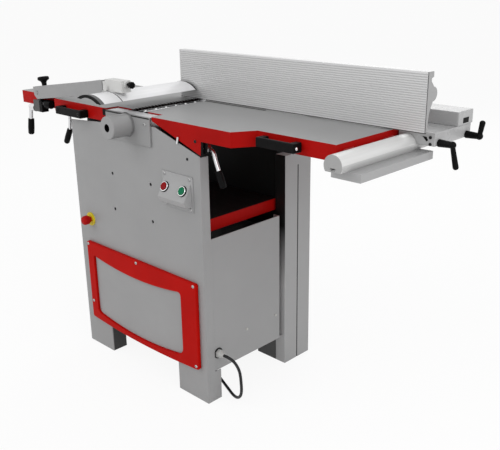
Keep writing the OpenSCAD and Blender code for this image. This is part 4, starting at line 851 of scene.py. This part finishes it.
# Tables and bed
# Iron castings, painted red and ground on top, where fine feed marks run along the tables. Painted shade
# darkens the bed's top, the slots in the outfeed lip and all that hangs below the aprons behind their front
# face.
casting_red = (0.36, 0.004, 0.003)
ground_iron = (0.345, 0.345, 0.347)
bed_top_shade = (0.02, 0.02, 0.02)
slot_shade = (0.012, 0.008, 0.008)
slot_reach = 41 * MM
table_top = 850 * MM
apron_low = 808 * MM
apron_face = 0.8 * MM
casting_edge = 0.9 * MM
pad_corners = ((-126, -231.2, 827), (-110.5, -229.4, 847))


def blend_values(finish, share, first, second):
    """A number between two others, each a number or a socket."""
    mix = finish.node_tree.nodes.new("ShaderNodeMix")
    finish.node_tree.links.new(share, mix.inputs[0])
    feed(finish.node_tree, mix.inputs[2], first)
    feed(finish.node_tree, mix.inputs[3], second)
    return mix.outputs[0]


def ground_casting(name, top, iron_colour, shade_reach=0.0):
    """Red paint with a ground iron top above the height top, and painted shade near the cutter within
    shade_reach.
    """
    finish = new_finish(name, casting_red, 0.42, 0.0, 0.05)
    on_top = zone(finish, ("Z", "GREATER_THAN", top - 0.5 * MM))
    # Painted shade: the lips and slots within the given reach of the cutter are coloured near black.
    shaded_by_cutter = zone(finish, ("X", "LESS_THAN", shade_reach), ("X", "GREATER_THAN", -shade_reach))
    marks = cloud(finish, 260, 5, (0.03, 1, 1))
    stains = cloud(finish, 7, 4)
    iron = varied(finish, marks, iron_colour, 0.05)
    worn = blend_colours(finish, spread(finish, stains, 0, 0.35), iron, tone(iron_colour, 0.88))
    paint = varied(finish, stains, casting_red, 0.1)
    edge = blend_colours(finish, shaded_by_cutter, paint, slot_shade)
    set_socket(finish, "Base Color", blend_colours(finish, on_top, edge, worn))
    set_socket(finish, "Metallic", blend_values(finish, on_top, 0.0, 0.3))
    sheen = spread(finish, marks, 0.4, 0.52)
    set_socket(finish, "Roughness", blend_values(finish, on_top, 0.42, sheen))
    relief(finish, marks, 0.00002)
    return finish


def slab(name, low, high, finish, body, slot_name, ease):
    """A flat piece with eased edges between two corners in millimetres."""
    outline = [(low[0], low[1]), (high[0], low[1]), (high[0], high[1]), (low[0], high[1])]
    return flat_piece(name, outline, "Z", (low[2], high[2]), finish, body, ease)


table_casting = ground_casting("table_casting", table_top, ground_iron, slot_reach)
# Painted shade: what hangs below the aprons, behind their front face, is coloured black.
shaded_under_apron = zone(table_casting, ("Z", "LESS_THAN", apron_low - 0.5 * MM),
                   ("Y", "GREATER_THAN", front_y * MM + apron_face))
recolour(table_casting, shaded_under_apron, bare_black)
# Painted shade: the bed's ground top, deep under the cutter, is coloured near black.
bed_casting = ground_casting("bed_casting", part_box("thicknessing_bed")[1].z, bed_top_shade)
eased("right_table", casting_edge, table_casting)
eased("left_table", casting_edge, table_casting)
eased("thicknessing_bed", casting_edge, bed_casting)
slab("lip_end_pad", *pad_corners, black_moulding, "left_table", "black_plastic", 0.5)
plated = bare_metal("plated_rod", (0.72, 0.72, 0.73), 0.28, (1, 1, 1), 60, 0.05)
stop_pin = [(0, 0), (2.6, 0), (3.1, 0.6), (3.1, 19), (2.4, 20.4), (0, 20.8)]
stop_pin_foot = (220, -232.4, 789)
stop_pin_axis = (0.26, 0, 0.97)
turned("table_stop_pin", stop_pin, stop_pin_foot, stop_pin_axis, plated, "right_table", 24)


# Table handles and lock levers
# Black moulded bow handles screwed to the aprons. Each lock lever is a bent plated rod with a black grip
# pushed over its end. The handwheel and the tie and plug of the cord are black mouldings too.
handle_end = 20
handle_bar = 10
handle_waist = 3
for side in ("right", "left"):
    low, high = [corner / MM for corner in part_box(side + "_table_handle")]
    gap_y = low.y + handle_bar
    handle_line = [(low.x, high.y), (low.x, low.y), (high.x, low.y), (high.x, high.y),
                   (high.x - handle_end, high.y), (high.x - handle_end, gap_y),
                   (low.x + handle_end, gap_y), (low.x + handle_end, high.y)]
    handle = flat_piece(side + "_bow_handle", handle_line, "Z", (low.z, high.z - handle_waist),
                        black_moulding, side + "_table", ease=3, steps=3)
    dress(black_moulding, side + "_table_handle")
    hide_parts(side + "_table_handle")
dress(plated, "hinge_pins", "right_lock_lever", "left_lock_lever", "mount_clamp_lever")
dress(black_moulding, "handwheel", "cord_tie", "power_plug")

rod_kinds = {"Rod radius": "Float", "Bend radius": "Float", "Finish": "Material"}
rod_tree, rod_in, rod_out = geometry_tree("bent_rod", rod_kinds)
rod_line = rod_tree.nodes.new("GeometryNodeMeshToCurve")
rod_fillet = rod_tree.nodes.new("GeometryNodeFilletCurve")
rod_fillet.mode = "POLY"
rod_fillet.inputs["Count"].default_value = 10
rod_fillet.inputs["Limit Radius"].default_value = True
rod_section = rod_tree.nodes.new("GeometryNodeCurvePrimitiveCircle")
rod_section.inputs["Resolution"].default_value = 28
rod_sweep = rod_tree.nodes.new("GeometryNodeCurveToMesh")
rod_sweep.inputs["Fill Caps"].default_value = True
rod_whole = rod_tree.nodes.new("GeometryNodeRealizeInstances")
rod_paint = rod_tree.nodes.new("GeometryNodeSetMaterial")
for origin, target in (
        (rod_in.outputs["Geometry"], rod_line.inputs["Mesh"]),
        (rod_line.outputs[0], rod_fillet.inputs["Curve"]),
        (rod_in.outputs["Bend radius"], rod_fillet.inputs["Radius"]),
        (rod_in.outputs["Rod radius"], rod_section.inputs["Radius"]),
        (rod_fillet.outputs[0], rod_sweep.inputs["Curve"]),
        (rod_section.outputs[0], rod_sweep.inputs["Profile Curve"]),
        (rod_sweep.outputs[0], rod_whole.inputs[0]),
        (rod_whole.outputs[0], rod_paint.inputs["Geometry"]),
        (rod_in.outputs["Finish"], rod_paint.inputs["Material"]),
        (rod_paint.outputs[0], rod_out.inputs["Geometry"])):
    rod_tree.links.new(origin, target)


def bent_rod(name, points, radius, bend, finish, body):
    """A round rod along points in millimetres, bent round the inner ones."""
    line = bpy.data.meshes.new(name + "_line")
    steps = [(k, k + 1) for k in range(len(points) - 1)]
    line.from_pydata([Vector(point) * MM for point in points], steps, [])
    values = {"Rod radius": radius * MM, "Bend radius": bend * MM, "Finish": finish}
    rod = grown(name, line, rod_tree, values, body)
    smooth_faces(rod.data)
    return rod


def grip(name, start, end, radius, body):
    """A black sleeve with a domed end over the end of a lever."""
    start, end = Vector(start), Vector(end)
    length = (end - start).length
    sleeve = [(0, -2), (radius - 1.6, -2), (radius - 0.3, -0.6), (radius, 2), (radius + 0.6, length * 0.6),
              (radius, length - 1), (radius * 0.8, length + 2.6), (radius * 0.4, length + 4),
              (0, length + 4.4)]
    return turned(name, sleeve, start, end - start, black_moulding, body, 32)


lever_y = -189.5
lock_levers = {
    "right": {"rod": [(293, 780), (319, 777), (330, 745), (345, 711)], "radius": 6, "bend": 14,
              "hub": (295, 780), "grip": [(338, 722), (356, 683)]},
    "left": {"rod": [(-378, 824), (-381, 771), (-386, 741), (-399, 720)], "radius": 5.5, "bend": 20,
             "hub": (-378, 822), "grip": [(-386, 741), (-414, 695)]},
}
lever_grip_r = 9.6
hub_profile = [(0, -9), (10, -9), (11, -8), (11, 8), (10, 9), (0, 9)]
for side, lever in lock_levers.items():
    lever_body = side + "_lock_lever"
    rod_path = [(x, lever_y, z) for x, z in lever["rod"]]
    lever_rod = bent_rod(side + "_lever_rod", rod_path, lever["radius"], lever["bend"], plated, lever_body)
    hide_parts(lever_body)
    hub_place = (lever["hub"][0], lever_y, lever["hub"][1])
    turned(side + "_lever_hub", hub_profile, hub_place, (0, 1, 0), plated, lever_body, 32)
    grip_start, grip_end = [(x, lever_y, z) for x, z in lever["grip"]]
    grip(side + "_lever_grip", grip_start, grip_end, lever_grip_r, lever_body)
forwards = (0, -1, 0)
black_screw = bare_metal("blackened_screw", (0.03, 0.03, 0.031), 0.35)
gusset_screw = [((293, -229.4, 806), forwards)]
screws("right_table_screws", gusset_screw, 4.5, black_screw, "right_table")
right_handle_screw = [((614.6, -189, 828), outwards_x)]
screws("right_handle_screws", right_handle_screw, 4.5, bright_screw, "right_table")
left_handle_rows = [((x, -260.4, 823), forwards) for x in (-216, -338)]
screws("left_handle_screws", left_handle_rows, 5, black_screw, "left_table")


# Fence
# A grooved aluminium extrusion that tilts on two pins. Its box tube stands on a carriage, which slides along
# the round rail on the folded tray at the end of the infeed table.
fence_face_y = 57 * MM
groove_depth = 1.2 * MM
fence_grey = (0.64, 0.64, 0.642)
end_shade_line = 1.6 * MM
foot_shadow_h = 2.4 * MM


def grooved_extrusion(name):
    """Satin anodised aluminium with a darker end face, and painted shade in its grooves, end edge and foot.
    """
    finish = new_finish(name, fence_grey, 0.5, 0.5)
    # Painted shade darkens the bottom of the grooves.
    groove_shade = fade(finish, "Y", fence_face_y + 0.2 * MM, fence_face_y + 1.0 * MM,
                   ("Y", "LESS_THAN", fence_face_y + groove_depth + 0.2 * MM))
    drawn = cloud(finish, 200, 3, (0.02, 1, 1))
    set_socket(finish, "Base Color", varied(finish, drawn, fence_grey, 0.03))
    recolour(finish, groove_shade, tone(fence_grey, 0.8))
    low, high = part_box("fence")
    recolour(finish, zone(finish, ("X", "GREATER_THAN", high.x - 0.3 * MM)), tone(fence_grey, 0.62))
    # Painted shade: a dark line along the end's front edge, and a painted shadow along the foot of the face.
    by_end = ("X", "GREATER_THAN", high.x - end_shade_line)
    recolour(finish, zone(finish, by_end, ("Y", "LESS_THAN", low.y + end_shade_line)), tone(fence_grey, 0.2))
    recolour(finish, zone(finish, ("Z", "LESS_THAN", low.z + foot_shadow_h)), tone(fence_grey, 0.15))
    set_socket(finish, "Roughness", spread(finish, drawn, 0.46, 0.54))
    relief(finish, drawn, 0.00001)
    return finish


def drawn_aluminium(name, colour, roughness, stretch):
    """Satin aluminium with fine lines along the way in which it was drawn."""
    finish = new_finish(name, colour, roughness, 0.25, 0.4)
    drawn = cloud(finish, 200, 3, stretch)
    set_socket(finish, "Base Color", varied(finish, drawn, colour, 0.03))
    set_socket(finish, "Roughness", spread(finish, drawn, roughness - 0.04, roughness + 0.06))
    relief(finish, drawn, 0.00001)
    return finish


dress(grooved_extrusion("fence_extrusion"), "fence")
rail_white = (0.72, 0.72, 0.715)
rail_low, rail_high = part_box("fence_rail")
rail_shade_z = (rail_low.z + rail_high.z) / 2 - 3 * MM
rail_end = 0.7 * MM
rail_aluminium = drawn_aluminium("rail_aluminium", rail_white, 0.38, (1, 0.02, 1))
# Painted shade darkens the rail's lower half and its end face.
recolour(rail_aluminium, zone(rail_aluminium, ("Z", "LESS_THAN", rail_shade_z)), tone(rail_white, 0.8))
shaded_rail_end = zone(rail_aluminium, ("Y", "LESS_THAN", rail_low.y + rail_end))
recolour(rail_aluminium, shaded_rail_end, tone(rail_white, 0.5))
eased("fence_rail", 0.6 * MM, rail_aluminium)
bracket_coat = powder_coat("bracket_coat", tone(silver_grey, 1.4), 0.28, 0.5)
eased("fence_carriage", 1.2 * MM, bracket_coat)
eased("fence_support", 1.2 * MM, bracket_coat)
tray_coat = powder_coat("tray_coat", tone(silver_grey, 1.2), 0.35, 0.4)
tab_reach = 4.5 * MM
recolour(tray_coat, zone(tray_coat, ("X", "LESS_THAN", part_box("rail_tray")[0].x + tab_reach)), casting_red)
eased("rail_tray", sheet_edge, tray_coat)
dress(black_moulding, "inner_clamp_lever", "outer_clamp_lever")
tube_end_x = 828.5
tube_cap = ((tube_end_x - 0.1, 193, 852), (tube_end_x + 1.2, 267, 887))
tube_slot = ((tube_end_x + 1, 217, 856), (tube_end_x + 1.7, 246, 870))
fence_shadow_corners = ((30, 45.5, 850.4), (288, 54.5, 852.4))
slab("tube_end_cap", *tube_cap, bracket_coat, "fence_carriage", "grey_paint", 0.5)
slab("tube_end_slot", *tube_slot, black_moulding, "fence_carriage", "black_plastic", 0.3)
# Painted shadow: a dark strip on the table along the foot of the fence.
fence_shadow_coat = powder_coat("fence_shadow_coat", (0.12, 0.12, 0.118))
slab("fence_foot_strip", *fence_shadow_corners, fence_shadow_coat, "fence_carriage", "grey_paint", 0.5)
# Painted shade: a thin black plate fills the V opening in the carriage.
opening_shade_outline = [(793, 840), (804.5, 839.5), (809.5, 831), (805, 828)]
opening_shade_y = (84.3, 85.3)
flat_piece("carriage_slot_plug", opening_shade_outline, "Y", opening_shade_y, black_moulding, "fence_carriage",
           ease=0.3)
carriage_rows = [((x, 84.9, z), forwards) for x, z in ((815.5, 839), (816, 822))]
screws("carriage_screws", carriage_rows, 4.2, black_screw, "fence_carriage")


# Bridge guard
# An arched aluminium profile over the cutter with moulded end caps. A clamp holds it on a folded arm, which
# pivots on a block at the outfeed table and is set by the knob above it.
guard_white = (0.8, 0.8, 0.81)
guard_band_y = -301 * MM
guard_band_grey = (0.1, 0.1, 0.102)
arm_face_y = -233
arm_rise = math.radians(8)
mount_low_z = 793
mount_split_x = -497
cast_grey = (0.1, 0.1, 0.1)
nylon_white = (0.6, 0.6, 0.59)
knob_foot = (-465.34, -220, 862.87)
mount_grip_ends = ((-581, -220, 757), (-591, -220, 706))
mount_bore = (-480, -219.5, 822)
guard_aluminium = drawn_aluminium("guard_aluminium", guard_white, 0.4, (1, 0.02, 1))
recolour(guard_aluminium, zone(guard_aluminium, ("Y", "LESS_THAN", guard_band_y)), guard_band_grey)
dress(guard_aluminium, "guard_profile")
eased("guard_arm", 0.8 * MM, powder_coat("arm_coat", silver_grey))
mount_coat = moulded_black("mount_coat")
recolour(mount_coat, zone(mount_coat, ("X", "LESS_THAN", mount_split_x * MM)), cast_grey)
recolour(mount_coat, zone(mount_coat, ("Y", "LESS_THAN", (arm_face_y + 0.5) * MM)), silver_grey)
eased("guard_mount", 1.2 * MM, mount_coat, lowest=mount_low_z * MM)
eased("guard_clamp", 2 * MM, gloss_plastic("pale_nylon", nylon_white, 0.4), 3, True)
dress(black_moulding, "height_knob", "clamp_knob", "guard_caps")
knob = [(0, -8), (5, -8), (5, 21.3), (8, 21.3), (8.2, 28), (9, 32.5), (11.5, 36), (15.5, 38.2), (18, 39.8),
        (19, 42), (19, 46), (18, 48.8), (15, 50.5), (9, 51.2), (0, 51.3)]
knob_axis = (-math.sin(arm_rise), 0, math.cos(arm_rise))
knob_piece = turned("mushroom_knob", knob, knob_foot, knob_axis, black_moulding, "height_knob")
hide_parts("height_knob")
grip("mount_lever_grip", *mount_grip_ends, 10.5, "mount_clamp_lever")
bush = [(0, 0), (8, 0), (8.6, 0.8), (8.6, 13.5), (0, 13.5)]
turned("mount_bush", bush, mount_bore, outwards_x, plated, "left_table", 32)
hub = [(0, 13.5), (12.5, 13.5), (14, 15), (14, 42), (12, 45), (0, 45)]
turned("mount_hub", hub, mount_bore, outwards_x, black_moulding, "left_table", 32)


# Screws
# Button heads with a hexagon socket, zinc plated, that hold the frame, the cover and the switch box. A single
# blackened one stands on the front panel above the box.
box_flange_y = -231.5
screw_spots = [(x, box_flange_y, z) for x in (157.5, 265.5) for z in (607, 696)]
screw_spots += [(x, frame_face_y, 380) for x in (-255, 5, 272)]
screw_spots += [(-252, frame_face_y, 172), (272, frame_face_y, 120)]
screw_spots += [(x, cover_face_y, 825) for x in (-84, 84)]
panel_places = [(spot, forwards) for spot in screw_spots]
dark_screw_place = [((257.6, front_y, 751.5), forwards)]
zinc_screw = bare_metal("zinc_screw", (0.42, 0.42, 0.42), 0.36)
dress(zinc_screw, "panel_screws")
screw_heads = screws("panel_screw_heads", panel_places, 5, zinc_screw, "cabinet")
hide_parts("panel_screws")
screws("dark_panel_screw", dark_screw_place, 4, black_screw, "cabinet")
